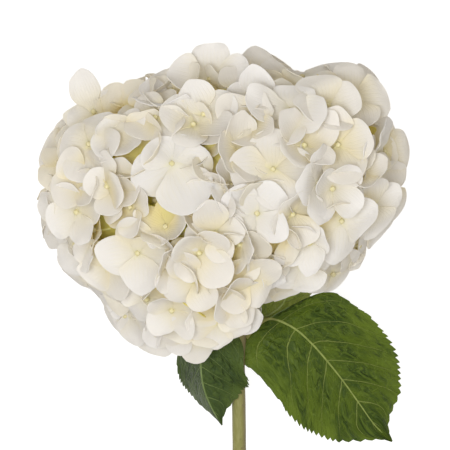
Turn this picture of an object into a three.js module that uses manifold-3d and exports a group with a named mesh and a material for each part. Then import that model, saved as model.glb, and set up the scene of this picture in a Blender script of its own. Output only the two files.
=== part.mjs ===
// A cut hydrangea: one white mophead flower head on a green stem with three toothed leaves, lying on its side.
// Millimetres. +Z is up from the surface it lies on, +Y runs from the stem's cut end to the head's crown.
import * as THREE from "three";
import { mergeVertices } from "three/addons/utils/BufferGeometryUtils.js";
import Module from "manifold-3d";

const wasm = await Module();
wasm.setup();
const { Manifold, Mesh } = wasm;

// The point of the plant's own layout that becomes the part's origin: under the middle of its box
const ORIGIN = new THREE.Vector3(-9, -19, 0);
// Gap kept between two pieces that touch
const GAP = 0.35;

// Flower head: its middle, and how far its outline lies from there, every 20 degrees anticlockwise from +X
const HEAD_CENTRE = new THREE.Vector3(-9, 85, 67);
const HEAD_OUTLINE = [90, 94, 94, 72, 65, 68, 69, 79, 92, 92, 90, 78, 80, 84, 74, 57, 67, 79];
const HEAD_DEPTH = { front: 70, back: 64 };
// How full the head is between its outline and its front and back: 2 is an ellipse
const HEAD_FULLNESS = 2.4;
// How far sepals reach past the floret centres at the outline
const SEPAL_REACH = 11;
const CORE_SHARE = 0.68;
const CORE_HOLLOW = 0.34;

// Florets: an even spiral over the head, with gaps round the stem and round the florets set by hand
const SPIRAL_FLORETS = 74;
const STEM_CLEARANCE_DEG = 25;
const FLORET_SPACING = 21;
// Place from above where the leaf stalks keep the florets apart
const LEAF_GAP = { x: 16, y: 25, radius: 12 };
const SEPAL_LENGTH = { least: 18.5, most: 23 };
const LEAN_DEG = 24;
const LIFTS = [-3.5, 0, 3.5];
const SEED = 20417;
const SEPAL_THICKNESS = 0.8;
// One sepal's edge as [degrees from its middle, share of its length], with the notch to the next one last
const SEPAL_EDGE = [
  [-36, 0.85],
  [-14, 1],
  [14, 1],
  [36, 0.85],
  [45, 0.42],
];
const SEPALS = 4;
const BUD = { radius: 1.7, height: 2.2 };
const STALK_RADIUS = 0.85;
const STALK_ROOT = 0.34;
// A sepal that would go under the surface lies on it, and bends within this height
const SETTLE = 5;
const REST_LEVEL = SEPAL_THICKNESS / 2 - 0.06;

// Florets set by hand: place from above, the way each faces, the angle of a sepal and its length
const FRONT_FLORETS = [
  { x: -34, y: 100, face: [-0.02, 0.04], spin: 55, length: 21 },
  { x: -49, y: 56, face: [-0.25, -0.2], spin: 38, length: 20 },
  { x: 16, y: 96, face: [0.12, 0.1], spin: 20, length: 20 },
  { x: 9, y: 76, face: [-0.05, -0.3], spin: 50, length: 19 },
  { x: 48, y: 108, face: [0.15, 0.12], spin: 40, length: 20 },
  { x: -11, y: 25, face: [0.05, -0.5], spin: 80, length: 17 },
  { x: -22, y: 43, face: [-0.1, -0.35], spin: 30, length: 17 },
  { x: -44, y: 34, face: [-0.35, -0.4], spin: 60, length: 17 },
  { x: 65, y: 79, face: [0.5, -0.25], spin: 30, length: 18 },
  { x: 43, y: 52, face: [0.35, -0.4], spin: 15, length: 18 },
  { x: 70, y: 105, face: [0.55, 0.15], spin: 10, length: 19 },
  { x: -72, y: 108, face: [-0.5, 0.2], spin: 80, length: 19 },
  { x: -14, y: 139, face: [-0.1, 0.55], spin: 90, length: 21 },
  { x: 50, y: 72, face: [0.12, -0.25], spin: 88, length: 21 },
  { x: -12, y: 66, face: [0.05, -0.2], spin: 15, length: 17 },
  { x: 30, y: 51, face: [0.3, -0.45], spin: 70, length: 19 },
  { x: -48, y: 26, face: [-0.5, -0.5], spin: 45, length: 18 },
  { x: 55, y: 131, face: [0.3, 0.5], spin: 0, length: 21 },
  { x: 25, y: 124, face: [-0.05, 0.3], spin: 75, length: 21 },
  { x: -17, y: 122, face: [-0.1, 0.35], spin: 25, length: 18 },
  { x: -78, y: 76, face: [-0.55, -0.15], spin: 25, length: 19 },
  { x: 5, y: 43, face: [0.1, -0.4], spin: 35, length: 17 },
  { x: -31, y: 18, face: [-0.1, -0.5], spin: 10, length: 16 },
  { x: -70, y: 123, face: [-0.2, 0.1], spin: 27, length: 20 },
];
// Three florets that face down carry the head on the surface, round its weight
const RESTING_FLORETS = [
  { x: -38, y: 98, spin: 30, length: 20 },
  { x: 22, y: 96, spin: 65, length: 20 },
  { x: -8, y: 58, spin: 10, length: 20 },
];

// Their sepals all bend down onto the surface
const RESTING_SHAPE = { cup: 0.6, waves: [0.7, 0.7, 0.7, 0.7] };

// Stem: the points that its middle line passes, and its radius along it with swellings at the joints
const STEM_LINE = [
  [2.5, -200, 3.9],
  [1.2, -150, 15],
  [0.6, -100, 29],
  [0.2, -43, 44.5],
  [-0.5, 0, 54.5],
  [-1.5, 24, 58],
  [-5, 52, 62],
];
const STEM_RADIUS = { cut: 3.7, fork: 3.1, top: 2 };
const STEM_JOINTS = [
  { y: -118, swell: 0.28, width: 7 },
  { y: 12, swell: 0.32, width: 6 },
];
const STEM_SIDES = 12;
const STEM_STEPS = 26;
const FORK = new THREE.Vector3(-1.2, 20, 57.5);
const RAYS = { count: 7, spread: 0.95, length: 36, radius: 1.5, sides: 5, steps: 3 };

// Leaves: petiole and midrib points, half width, teeth on a side and the form of the surface. For each half:
// which way it reaches, how far its lobe goes back at the base, and how near the tip it is widest.
const LEAVES = {
  leaf_right: {
    petiole: [[3.4, 12.5, 56.5], [8, 18, 56.5]],
    midrib: [
      [15, 22, 55],
      [27, 17.6, 53],
      [36, 10, 50.5],
      [44, 1, 47.5],
      [52, -9, 43],
      [61, -21.5, 37],
      [69, -32.5, 30.5],
      [77.5, -40.5, 25],
    ],
    left: { reach: [-0.78, -0.55, 0.12], back: 1.2, fullness: 0.58 },
    right: { reach: [0.74, 0.64, -0.2], back: 0.5, fullness: 0.7 },
    halfWidth: 31.5,
    teeth: 19,
    columns: 6,
    curl: -0.1,
    quilt: 0.9,
  },
  leaf_left: {
    petiole: [[-3.8, 12.8, 57.5], [-9, 18, 62]],
    midrib: [
      [-14, 20, 64],
      [-18.5, 8, 66.5],
      [-19, -3, 66.5],
      [-17.5, -13, 64],
      [-13.5, -23, 59.5],
      [-8.5, -31.5, 54],
    ],
    left: { reach: [0.75, 0.2, -0.12], back: 0.5, fullness: 0.56 },
    right: { reach: [-0.42, 0.1, -0.9], back: 0.5, fullness: 0.56 },
    halfWidth: 24,
    teeth: 13,
    columns: 4,
    curl: -0.1,
    quilt: 0.7,
  },
  leaf_back: {
    petiole: [[1.2, 14.5, 52.4], [5, 19, 47.5]],
    midrib: [[12, 22, 43], [21, 28, 35.5], [26, 38, 25], [33, 49, 14.5], [42, 60, 7]],
    left: { reach: [0.85, -0.4, -0.15], back: 0.5, fullness: 0.7 },
    right: { reach: [-0.75, 0.5, -0.1], back: 0.5, fullness: 0.7 },
    halfWidth: 14,
    teeth: 9,
    columns: 4,
    curl: 0.1,
    quilt: 0.4,
  },
};
const LEAF_THICKNESS = 0.8;
const LATERAL_VEINS = 8;
const MIDRIB_RADIUS = { base: 1.3, tip: 0.45 };
const TOOTH = { out: 1.5, forward: 1.6 };

// Details of a finished solid that are smaller than this are dropped
const TIDY = 0.02;

const COLOURS = {
  sepal: { color: 0xf3efe6, roughness: 0.62 },
  stem: { color: 0x8f9350, roughness: 0.6 },
  leaf: { color: 0x3f6b22, roughness: 0.5 },
};

const radians = THREE.MathUtils.degToRad;
const smoothstep = THREE.MathUtils.smoothstep;
const vector = ([x, y, z]) => new THREE.Vector3(x, y, z);

// A stream of even draws from 0 to 1 that is the same on every run
function drawer(seed) {
  let state = seed;
  return () => (state = (state * 48271) % 2147483647) / 2147483647;
}

// An indexed geometry with its shared vertices merged
function merged(geometry) {
  const bare = geometry.clone();
  bare.deleteAttribute("normal");
  bare.deleteAttribute("uv");
  return mergeVertices(bare, 1e-5);
}

// The solid that a closed geometry bounds, whichever way its faces are turned
function solid(geometry) {
  const closed = merged(geometry);
  const corners = closed.index.array;
  const outward = [];
  const inward = [];
  for (let i = 0; i < corners.length; i += 3) {
    const [a, b, c] = corners.slice(i, i + 3);
    if (a === b || b === c || c === a) continue;
    outward.push(a, b, c);
    inward.push(a, c, b);
  }
  const vertProperties = new Float32Array(closed.attributes.position.array);
  const make = (faces) => new Manifold(new Mesh({ numProp: 3, vertProperties, triVerts: new Uint32Array(faces) }));
  const made = make(outward);
  return made.volume() > 0 ? made : make(inward);
}

// A named mesh of a finished solid's largest body
function meshOf(name, made, look) {
  const bodies = made.simplify(TIDY).decompose().sort((a, b) => b.volume() - a.volume());
  const { vertProperties, triVerts } = bodies[0].getMesh();
  const geometry = new THREE.BufferGeometry();
  geometry.setAttribute("position", new THREE.BufferAttribute(vertProperties, 3));
  geometry.setIndex(new THREE.BufferAttribute(triVerts, 1));
  geometry.computeVertexNormals();
  const mesh = new THREE.Mesh(geometry, new THREE.MeshStandardMaterial({ metalness: 0, ...look }));
  mesh.name = name;
  return mesh;
}

// A thin solid round the mid-surface that a flat geometry's points are placed on, split alike on both faces.
// Its rim can be spread outwards in its own plane.
function thicken(flat, place, thickness, spread = 0) {
  const middle = merged(flat);
  const points = middle.attributes.position;
  for (let i = 0; i < points.count; i++) {
    const p = place(points.getX(i), points.getY(i));
    points.setXYZ(i, p.x, p.y, p.z);
  }
  middle.computeVertexNormals();
  const at = (i) => new THREE.Vector3().fromBufferAttribute(points, i);
  const normalAt = (i) => new THREE.Vector3().fromBufferAttribute(middle.attributes.normal, i);
  const count = points.count;
  const faces = middle.index.array;
  const index = [];
  const rim = new Map();
  for (let f = 0; f < faces.length; f += 3) {
    const [a, b, c] = faces.slice(f, f + 3);
    index.push(a, b, c, c + count, b + count, a + count);
    for (const [from, to] of [[a, b], [b, c], [c, a]])
      if (!rim.delete(`${to},${from}`)) rim.set(`${from},${to}`, [from, to]);
  }
  const outwards = Array.from({ length: count }, () => new THREE.Vector3());
  for (const [from, to] of rim.values()) {
    index.push(to, from, from + count, to, from + count, to + count);
    const out = at(to).sub(at(from)).cross(normalAt(from)).normalize();
    outwards[from].add(out);
    outwards[to].add(out);
  }
  const corners = new Float32Array(count * 6);
  for (let i = 0; i < count; i++) {
    const middlePoint = at(i).addScaledVector(outwards[i].normalize(), spread);
    middlePoint.clone().addScaledVector(normalAt(i), thickness / 2).toArray(corners, i * 3);
    middlePoint.clone().addScaledVector(normalAt(i), -thickness / 2).toArray(corners, (i + count) * 3);
  }
  const closed = new THREE.BufferGeometry();
  closed.setAttribute("position", new THREE.BufferAttribute(corners, 3));
  closed.setIndex(index);
  return solid(closed);
}

// A round tube along a curve, with a radius that depends on the share of the way along it and on the place
function tube(curve, radiusAt, sides, steps) {
  const geometry = new THREE.CylinderGeometry(1, 1, 1, sides, steps);
  const points = geometry.attributes.position;
  const upright = new THREE.Vector3(0, 0, 1);
  for (let i = 0; i < points.count; i++) {
    const along = THREE.MathUtils.clamp(0.5 - points.getY(i), 0, 1);
    const centre = curve.getPointAt(along);
    const tangent = curve.getTangentAt(along);
    const across = new THREE.Vector3().crossVectors(upright, tangent).normalize();
    const up = new THREE.Vector3().crossVectors(tangent, across);
    const radius = radiusAt(along, centre);
    centre.addScaledVector(across, points.getX(i) * radius).addScaledVector(up, points.getZ(i) * radius);
    points.setXYZ(i, centre.x, centre.y, centre.z);
  }
  return solid(geometry);
}

// How far the outline lies from the head's middle at an angle from above
function outlineRadius(angle) {
  const count = HEAD_OUTLINE.length;
  const at = (((angle / (2 * Math.PI)) * count) % count + count) % count;
  const before = Math.floor(at);
  const share = (1 - Math.cos(Math.PI * (at - before))) / 2;
  return HEAD_OUTLINE[before] * (1 - share) + HEAD_OUTLINE[(before + 1) % count] * share;
}

// 1 on the surface that the floret centres lie on, less inside it; offset is from the head's middle
function headLevel(offset) {
  const across = outlineRadius(Math.atan2(offset.y, offset.x)) - SEPAL_REACH;
  const depth = offset.z > 0 ? HEAD_DEPTH.front : HEAD_DEPTH.back;
  const flat = (Math.hypot(offset.x, offset.y) / across) ** HEAD_FULLNESS;
  return (flat + (Math.abs(offset.z) / depth) ** HEAD_FULLNESS) ** (1 / HEAD_FULLNESS);
}

// The way out of the head at an offset from its middle
function headNormal(offset) {
  const step = 1;
  const level = headLevel(offset);
  const slope = (x, y, z) => headLevel(new THREE.Vector3(x, y, z).multiplyScalar(step).add(offset)) - level;
  return new THREE.Vector3(slope(1, 0, 0), slope(0, 1, 0), slope(0, 0, 1)).normalize();
}

// The offset of the head's upper or lower surface over a place seen from above
function headOffset(x, y, side) {
  const offset = new THREE.Vector3(x - HEAD_CENTRE.x, y - HEAD_CENTRE.y, 0);
  const inside = Math.min(headLevel(offset), 0.995);
  const depth = side > 0 ? HEAD_DEPTH.front : HEAD_DEPTH.back;
  offset.z = side * depth * (1 - inside ** HEAD_FULLNESS) ** (1 / HEAD_FULLNESS);
  return offset;
}

const stemDirection = vector(STEM_LINE[4]).sub(HEAD_CENTRE).normalize();

// Every floret's centre, facing, spin, sepal length and draws for its shape
function floretPlaces() {
  const draw = drawer(SEED);
  const shape = () => ({ cup: draw(), waves: [draw(), draw(), draw(), draw()] });
  const places = FRONT_FLORETS.map(({ x, y, face, spin, length }) => {
    const facing = new THREE.Vector3(face[0], face[1], Math.sqrt(1 - face[0] ** 2 - face[1] ** 2));
    const centre = headOffset(x, y, 1).add(HEAD_CENTRE).addScaledVector(facing, LIFTS[2]);
    return { centre, facing, spin: radians(spin), length, ...shape() };
  });
  for (const { x, y, spin, length } of RESTING_FLORETS) {
    const centre = new THREE.Vector3(x, y, REST_LEVEL);
    const facing = new THREE.Vector3(0, 0, -1);
    places.push({ centre, facing, spin: radians(spin), length, ...shape(), ...RESTING_SHAPE });
  }
  const golden = Math.PI * (3 - Math.sqrt(5));
  for (let i = 0; i < SPIRAL_FLORETS; i++) {
    const crown = 1 - (2 * i + 1) / SPIRAL_FLORETS;
    const round = Math.sqrt(1 - crown ** 2);
    const out = new THREE.Vector3(round * Math.cos(i * golden), crown, round * Math.sin(i * golden));
    const offset = out.clone().multiplyScalar(1 / headLevel(out));
    const lift = LIFTS[i % LIFTS.length] + draw() - 0.5;
    const lean = [draw() - 0.5, draw() - 0.5, draw() - 0.5].map((d) => 2 * d * Math.tan(radians(LEAN_DEG)));
    const spin = draw() * Math.PI;
    const length = THREE.MathUtils.lerp(SEPAL_LENGTH.least, SEPAL_LENGTH.most, draw());
    const drawn = shape();
    const centre = offset.clone().add(HEAD_CENTRE);
    const facing = headNormal(offset);
    const near = places.some((other) => other.centre.distanceTo(centre) < FLORET_SPACING);
    const overLeaves = Math.hypot(centre.x - LEAF_GAP.x, centre.y - LEAF_GAP.y) < LEAF_GAP.radius;
    if (near || overLeaves || out.angleTo(stemDirection) < radians(STEM_CLEARANCE_DEG)) continue;
    const calm = smoothstep(centre.z, 0, 30);
    centre.addScaledVector(facing, lift * calm);
    facing.addScaledVector(vector(lean), calm).normalize();
    places.push({ centre, facing, spin, length, ...drawn });
  }
  return places;
}

// Height of a mid-surface point once the surface bears it
function settled(height) {
  const low = height - REST_LEVEL;
  if (low >= SETTLE) return height;
  return low <= -SETTLE ? REST_LEVEL : REST_LEVEL + (low + SETTLE) ** 2 / (4 * SETTLE);
}

// The edge of four equal sepals, one unit long
const floretOutline = new THREE.Shape(
  [0, 1, 2, 3].flatMap((sepal) =>
    SEPAL_EDGE.map(([degrees, share]) => {
      const angle = radians(sepal * 90 + degrees);
      return new THREE.Vector2(share * Math.cos(angle), share * Math.sin(angle));
    }),
  ),
);

// One floret: four sepals round a bud, on a stalk that is rooted in the core
function floret({ centre, facing, spin, length, cup, waves }) {
  const turn = new THREE.Quaternion().setFromUnitVectors(new THREE.Vector3(0, 0, 1), facing);
  const place = (x, y) => {
    const quarter = (2 * Math.PI) / SEPALS;
    const angle = Math.atan2(y, x);
    const sepal = (Math.round(angle / quarter) + SEPALS) % SEPALS;
    const share = Math.hypot(x, y);
    const reach = length * share * (0.86 + 0.2 * waves[sepal]);
    const fromMiddle = Math.abs(angle / quarter - Math.round(angle / quarter));
    const inner = (sepal % 2) * (1 - 2 * fromMiddle);
    const rise = reach * share * (0.42 * cup - 0.1 + 0.3 * (waves[sepal] - 0.5)) + length * 0.12 * inner;
    const point = new THREE.Vector3(Math.cos(angle + spin) * reach, Math.sin(angle + spin) * reach, rise);
    point.applyQuaternion(turn).add(centre);
    point.z = settled(point.z);
    return point;
  };
  const sepals = thicken(new THREE.ShapeGeometry(floretOutline), place, SEPAL_THICKNESS);
  const root = centre.clone().sub(HEAD_CENTRE).multiplyScalar(STALK_ROOT).add(HEAD_CENTRE);
  const inward = root.clone().sub(centre);
  const profile = [
    [0, -BUD.height],
    [BUD.radius, BUD.height / 3],
    [STALK_RADIUS, inward.length()],
    [0, inward.length()],
  ].map(([radius, along]) => new THREE.Vector2(radius, along));
  const upright = new THREE.Vector3(0, 1, 0);
  const stalk = new THREE.LatheGeometry(profile, 3)
    .applyQuaternion(new THREE.Quaternion().setFromUnitVectors(upright, inward.normalize()))
    .translate(centre.x, centre.y, centre.z);
  return [sepals, solid(stalk)];
}

// The small solid middle of the head that every stalk is rooted in, hollow towards the stem
function core() {
  const geometry = merged(new THREE.IcosahedronGeometry(1, 2));
  const points = geometry.attributes.position;
  for (let i = 0; i < points.count; i++) {
    const out = new THREE.Vector3().fromBufferAttribute(points, i);
    const hollow = 1 - CORE_HOLLOW * smoothstep(out.dot(stemDirection), 0.55, 1);
    out.multiplyScalar((CORE_SHARE * hollow) / headLevel(out)).add(HEAD_CENTRE);
    points.setXYZ(i, out.x, out.y, out.z);
  }
  return solid(geometry);
}

// The stem and the rays that spread from its fork into the head, made larger all round by a margin
function stem(margin) {
  const line = new THREE.CatmullRomCurve3(STEM_LINE.map(vector));
  const radiusAt = (along, { y }) => {
    const thin = smoothstep(y, FORK.y, STEM_LINE.at(-1)[1]);
    const plain = THREE.MathUtils.lerp(STEM_RADIUS.cut, STEM_RADIUS.fork, smoothstep(y, STEM_LINE[0][1], FORK.y));
    const swells = STEM_JOINTS.map((joint) => joint.swell * Math.exp(-(((y - joint.y) / joint.width) ** 2)));
    return THREE.MathUtils.lerp(plain, STEM_RADIUS.top, thin) * (1 + swells[0] + swells[1]) + margin;
  };
  const axis = vector(STEM_LINE.at(-1)).sub(FORK).normalize();
  const sideways = new THREE.Vector3(1, 0, 0).cross(axis).normalize();
  const rays = [];
  for (let k = 0; k < RAYS.count; k++) {
    const radial = sideways.clone().applyAxisAngle(axis, (2 * Math.PI * k) / RAYS.count);
    const at = (forward, out) => FORK.clone().addScaledVector(axis, forward).addScaledVector(radial, out);
    const reach = RAYS.length + margin;
    const ray = new THREE.QuadraticBezierCurve3(
      at(-2, 0),
      at(reach * 0.3, reach * 0.45),
      at(reach * Math.cos(RAYS.spread), reach * Math.sin(RAYS.spread)),
    );
    rays.push(tube(ray, () => RAYS.radius + margin, RAYS.sides, RAYS.steps));
  }
  return Manifold.union([tube(line, radiusAt, STEM_SIDES, STEM_STEPS), ...rays]).trimByPlane([0, 0, 1], 0);
}

// One leaf: a toothed blade, quilted between its side veins, with its midrib and petiole
function leaf(shape, margin) {
  const midrib = new THREE.CatmullRomCurve3(shape.midrib.map(vector));
  const rows = 2 * shape.teeth;
  const place = (x, y) => {
    const along = 0.5 - y;
    const row = Math.round(along * rows);
    const side = Math.abs(x);
    const tangent = midrib.getTangentAt(along);
    const across = (reach) => vector(reach).addScaledVector(tangent, -vector(reach).dot(tangent)).normalize();
    const half = x < 0 ? shape.left : shape.right;
    const up = new THREE.Vector3().crossVectors(across(shape.left.reach), tangent);
    if (up.z < 0) up.negate();
    const width = Math.max(shape.halfWidth * Math.sin(Math.PI * along ** half.fullness) ** 0.6, 0.8);
    const tooth = side > 0.99 && row % 2 === 1 ? Math.min(1, width / 8) : 0;
    const lobe = half.back * side * (1 - smoothstep(along, 0, 0.28));
    const forward = width * (0.38 * side ** 2 - lobe) + TOOTH.forward * tooth;
    const quilt = shape.quilt * Math.sin(Math.PI * LATERAL_VEINS * along) ** 2 * Math.sin(Math.PI * side);
    const rise = shape.curl * width * side ** 2 + quilt * Math.min(1, width / 10);
    return midrib
      .getPointAt(along)
      .addScaledVector(across(half.reach), side * width + TOOTH.out * tooth)
      .addScaledVector(tangent, forward * Math.min(1, 2 * (1 - along)))
      .addScaledVector(up, rise);
  };
  const sheet = new THREE.PlaneGeometry(2, 1, shape.columns, rows);
  const blade = thicken(sheet, place, LEAF_THICKNESS + 2 * margin, 1.5 * margin);
  const line = new THREE.CatmullRomCurve3([...shape.petiole, ...shape.midrib].map(vector));
  const radiusAt = (along) => THREE.MathUtils.lerp(MIDRIB_RADIUS.base, MIDRIB_RADIUS.tip, along) + margin;
  return blade.add(tube(line, radiusAt, 6, 18));
}

const made = new Map([["stem", stem(0)]]);
const taken = [stem(GAP)];
for (const [name, shape] of Object.entries(LEAVES)) {
  made.set(name, Manifold.difference([leaf(shape, 0), ...taken]).trimByPlane([0, 0, 1], 0));
  taken.push(leaf(shape, GAP));
}
const florets = floretPlaces().flatMap(floret);
const head = Manifold.union([core(), ...florets]);
made.set("flower_head", Manifold.difference([head, ...taken]).trimByPlane([0, 0, 1], 0));

const plant = new THREE.Group();
for (const [name, piece] of made) {
  const look = name === "stem" ? COLOURS.stem : name === "flower_head" ? COLOURS.sepal : COLOURS.leaf;
  plant.add(meshOf(name, piece, look));
}
plant.position.sub(ORIGIN);

const hydrangea = new THREE.Group();
hydrangea.add(plant);
export default hydrangea;
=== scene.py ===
"""Looks of a cut hydrangea: a white mophead on a green stem with three toothed leaves, lying on its side.

Every piece is worked out in the plant's own layout, in millimetres, and set down in the frame in metres.
+Z is up from the surface it lies on and +Y runs from the stem's cut end to the head's crown.
"""

import logging
import math
import random
from collections.abc import Callable, Sequence
from dataclasses import dataclass, field
from enum import Enum

import bmesh
import bpy
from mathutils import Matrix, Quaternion, Vector, noise

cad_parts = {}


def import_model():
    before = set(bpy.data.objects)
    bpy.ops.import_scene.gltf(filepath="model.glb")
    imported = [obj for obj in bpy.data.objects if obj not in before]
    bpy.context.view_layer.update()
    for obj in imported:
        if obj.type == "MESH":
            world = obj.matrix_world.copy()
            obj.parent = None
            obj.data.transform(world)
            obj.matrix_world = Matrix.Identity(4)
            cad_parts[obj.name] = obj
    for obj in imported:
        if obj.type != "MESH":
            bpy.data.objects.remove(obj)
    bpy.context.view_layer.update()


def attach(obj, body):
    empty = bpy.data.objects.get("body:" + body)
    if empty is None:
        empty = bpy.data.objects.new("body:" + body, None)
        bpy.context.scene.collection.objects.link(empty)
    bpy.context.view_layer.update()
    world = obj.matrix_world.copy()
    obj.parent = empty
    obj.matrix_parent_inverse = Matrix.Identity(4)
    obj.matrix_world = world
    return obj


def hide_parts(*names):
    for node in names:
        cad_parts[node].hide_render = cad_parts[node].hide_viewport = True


log = logging.getLogger("hydrangea")

Colour = tuple[float, float, float]
Point = tuple[float, float, float]

# The point of the plant's layout that is the part's origin, and the frame's metres in a millimetre
ORIGIN = Vector((-9.0, -19.0, 0.0))
MM = 0.001
BODY = "root"
GOLDEN_ANGLE = math.pi * (3 - math.sqrt(5))


# Numbers and lines


def smoothstep(value: float, low: float, high: float) -> float:
    """Returns 0 below low, 1 above high and an S-curve between them."""
    share = min(1.0, max(0.0, (value - low) / (high - low)))
    return share * share * (3 - 2 * share)


def lerp(start: float, end: float, share: float) -> float:
    """Returns the number that lies a share of the way from start to end."""
    return start + (end - start) * share


def in_frame(point: Vector) -> Vector:
    """Returns a point of the plant's layout in the frame's metres."""
    return (point - ORIGIN) * MM


class Drawer:
    """A stream of even draws from 0 to 1, the same on every run and the same as the solids' own."""

    def __init__(self, seed: int) -> None:
        """Starts the stream.

        Args:
            seed: A whole number above 0.
        """
        self.state = seed

    def draw(self) -> float:
        """Returns the next number of the stream."""
        self.state = (self.state * 48271) % 2147483647
        return self.state / 2147483647


class SmoothLine:
    """A curve that passes through points without overshoot, measured along its own length."""

    def __init__(self, points: Sequence[Point | Vector], samples: int = 240) -> None:
        """Samples the curve.

        Args:
            points: The points that it passes, three or more.
            samples: How many short straight steps stand for it.
        """
        self.knots = [Vector(p) for p in points]
        self.points = [self._raw(i / samples) for i in range(samples + 1)]
        self.lengths = [0.0]
        for before, after in zip(self.points, self.points[1:], strict=False):
            self.lengths.append(self.lengths[-1] + (after - before).length)

    def _raw(self, share: float) -> Vector:
        """Returns the point at a share of the knots, which aren't evenly spaced along the curve."""
        knots = self.knots
        last = len(knots) - 1
        place = share * last
        first = min(int(place), last - 1)
        t = place - first
        p1, p2 = knots[first], knots[first + 1]
        p0 = knots[first - 1] if first > 0 else 2 * knots[0] - knots[1]
        p3 = knots[first + 2] if first + 2 <= last else 2 * knots[last] - knots[last - 1]
        d0, d1, d2 = (math.sqrt((b - a).length) for a, b in ((p0, p1), (p1, p2), (p2, p3)))
        start = ((p1 - p0) / d0 - (p2 - p0) / (d0 + d1) + (p2 - p1) / d1) * d1
        end = ((p2 - p1) / d1 - (p3 - p1) / (d1 + d2) + (p3 - p2) / d2) * d1
        square = -3 * p1 + 3 * p2 - 2 * start - end
        cube = 2 * p1 - 2 * p2 + start + end
        return p1 + start * t + square * t**2 + cube * t**3

    @property
    def length(self) -> float:
        """The curve's length."""
        return self.lengths[-1]

    def at(self, share: float) -> Vector:
        """Returns the point at a share of the curve's length."""
        goal = min(1.0, max(0.0, share)) * self.length
        low, high = 0, len(self.lengths) - 1
        while high - low > 1:
            middle = (low + high) // 2
            low, high = (middle, high) if self.lengths[middle] <= goal else (low, middle)
        step = self.lengths[high] - self.lengths[low]
        return self.points[low].lerp(self.points[high], (goal - self.lengths[low]) / max(step, 1e-9))

    def heading(self, share: float) -> Vector:
        """Returns the unit direction of the curve at a share of its length."""
        return (self.at(min(1.0, share + 0.004)) - self.at(max(0.0, share - 0.004))).normalized()


# Shader maths


class Signal:
    """One output socket of a material's nodes. Its operators add Math nodes."""

    def __init__(self, canvas: "Canvas", socket: bpy.types.NodeSocket) -> None:
        """Wraps a socket.

        Args:
            canvas: The material's nodes that it belongs to.
            socket: The output socket.
        """
        self.canvas = canvas
        self.socket = socket

    def _math(self, operation: str, *values: "Signal | float") -> "Signal":
        """Returns the result of a Math node on some values."""
        return self.canvas.node("ShaderNodeMath", {"operation": operation}, dict(enumerate(values)))

    def __add__(self, other: "Signal | float") -> "Signal":
        """Returns the sum."""
        return self._math("ADD", self, other)

    def __radd__(self, other: float) -> "Signal":
        """Returns the sum."""
        return self._math("ADD", other, self)

    def __sub__(self, other: "Signal | float") -> "Signal":
        """Returns the difference."""
        return self._math("SUBTRACT", self, other)

    def __rsub__(self, other: float) -> "Signal":
        """Returns the difference."""
        return self._math("SUBTRACT", other, self)

    def __mul__(self, other: "Signal | float") -> "Signal":
        """Returns the product."""
        return self._math("MULTIPLY", self, other)

    def __rmul__(self, other: float) -> "Signal":
        """Returns the product."""
        return self._math("MULTIPLY", other, self)

    def __truediv__(self, other: "Signal | float") -> "Signal":
        """Returns the quotient."""
        return self._math("DIVIDE", self, other)

    def __abs__(self) -> "Signal":
        """Returns the number without its sign."""
        return self._math("ABSOLUTE", self)

    def from_line(self) -> "Signal":
        """Returns the distance from the nearest whole number, from 0 to 0.5."""
        return abs(self._math("FRACT", self + 0.5) - 0.5)

    def step(self, low: float, high: float) -> "Signal":
        """Returns an S-curve from 0 at low to 1 at high. High may be the smaller one."""
        ends = {"From Min": low, "From Max": high}
        if high < low:
            ends = {"From Min": high, "From Max": low, "To Min": 1.0, "To Max": 0.0}
        settings = {"interpolation_type": "SMOOTHSTEP"}
        return self.canvas.node("ShaderNodeMapRange", settings, {"Value": self, **ends})


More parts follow.
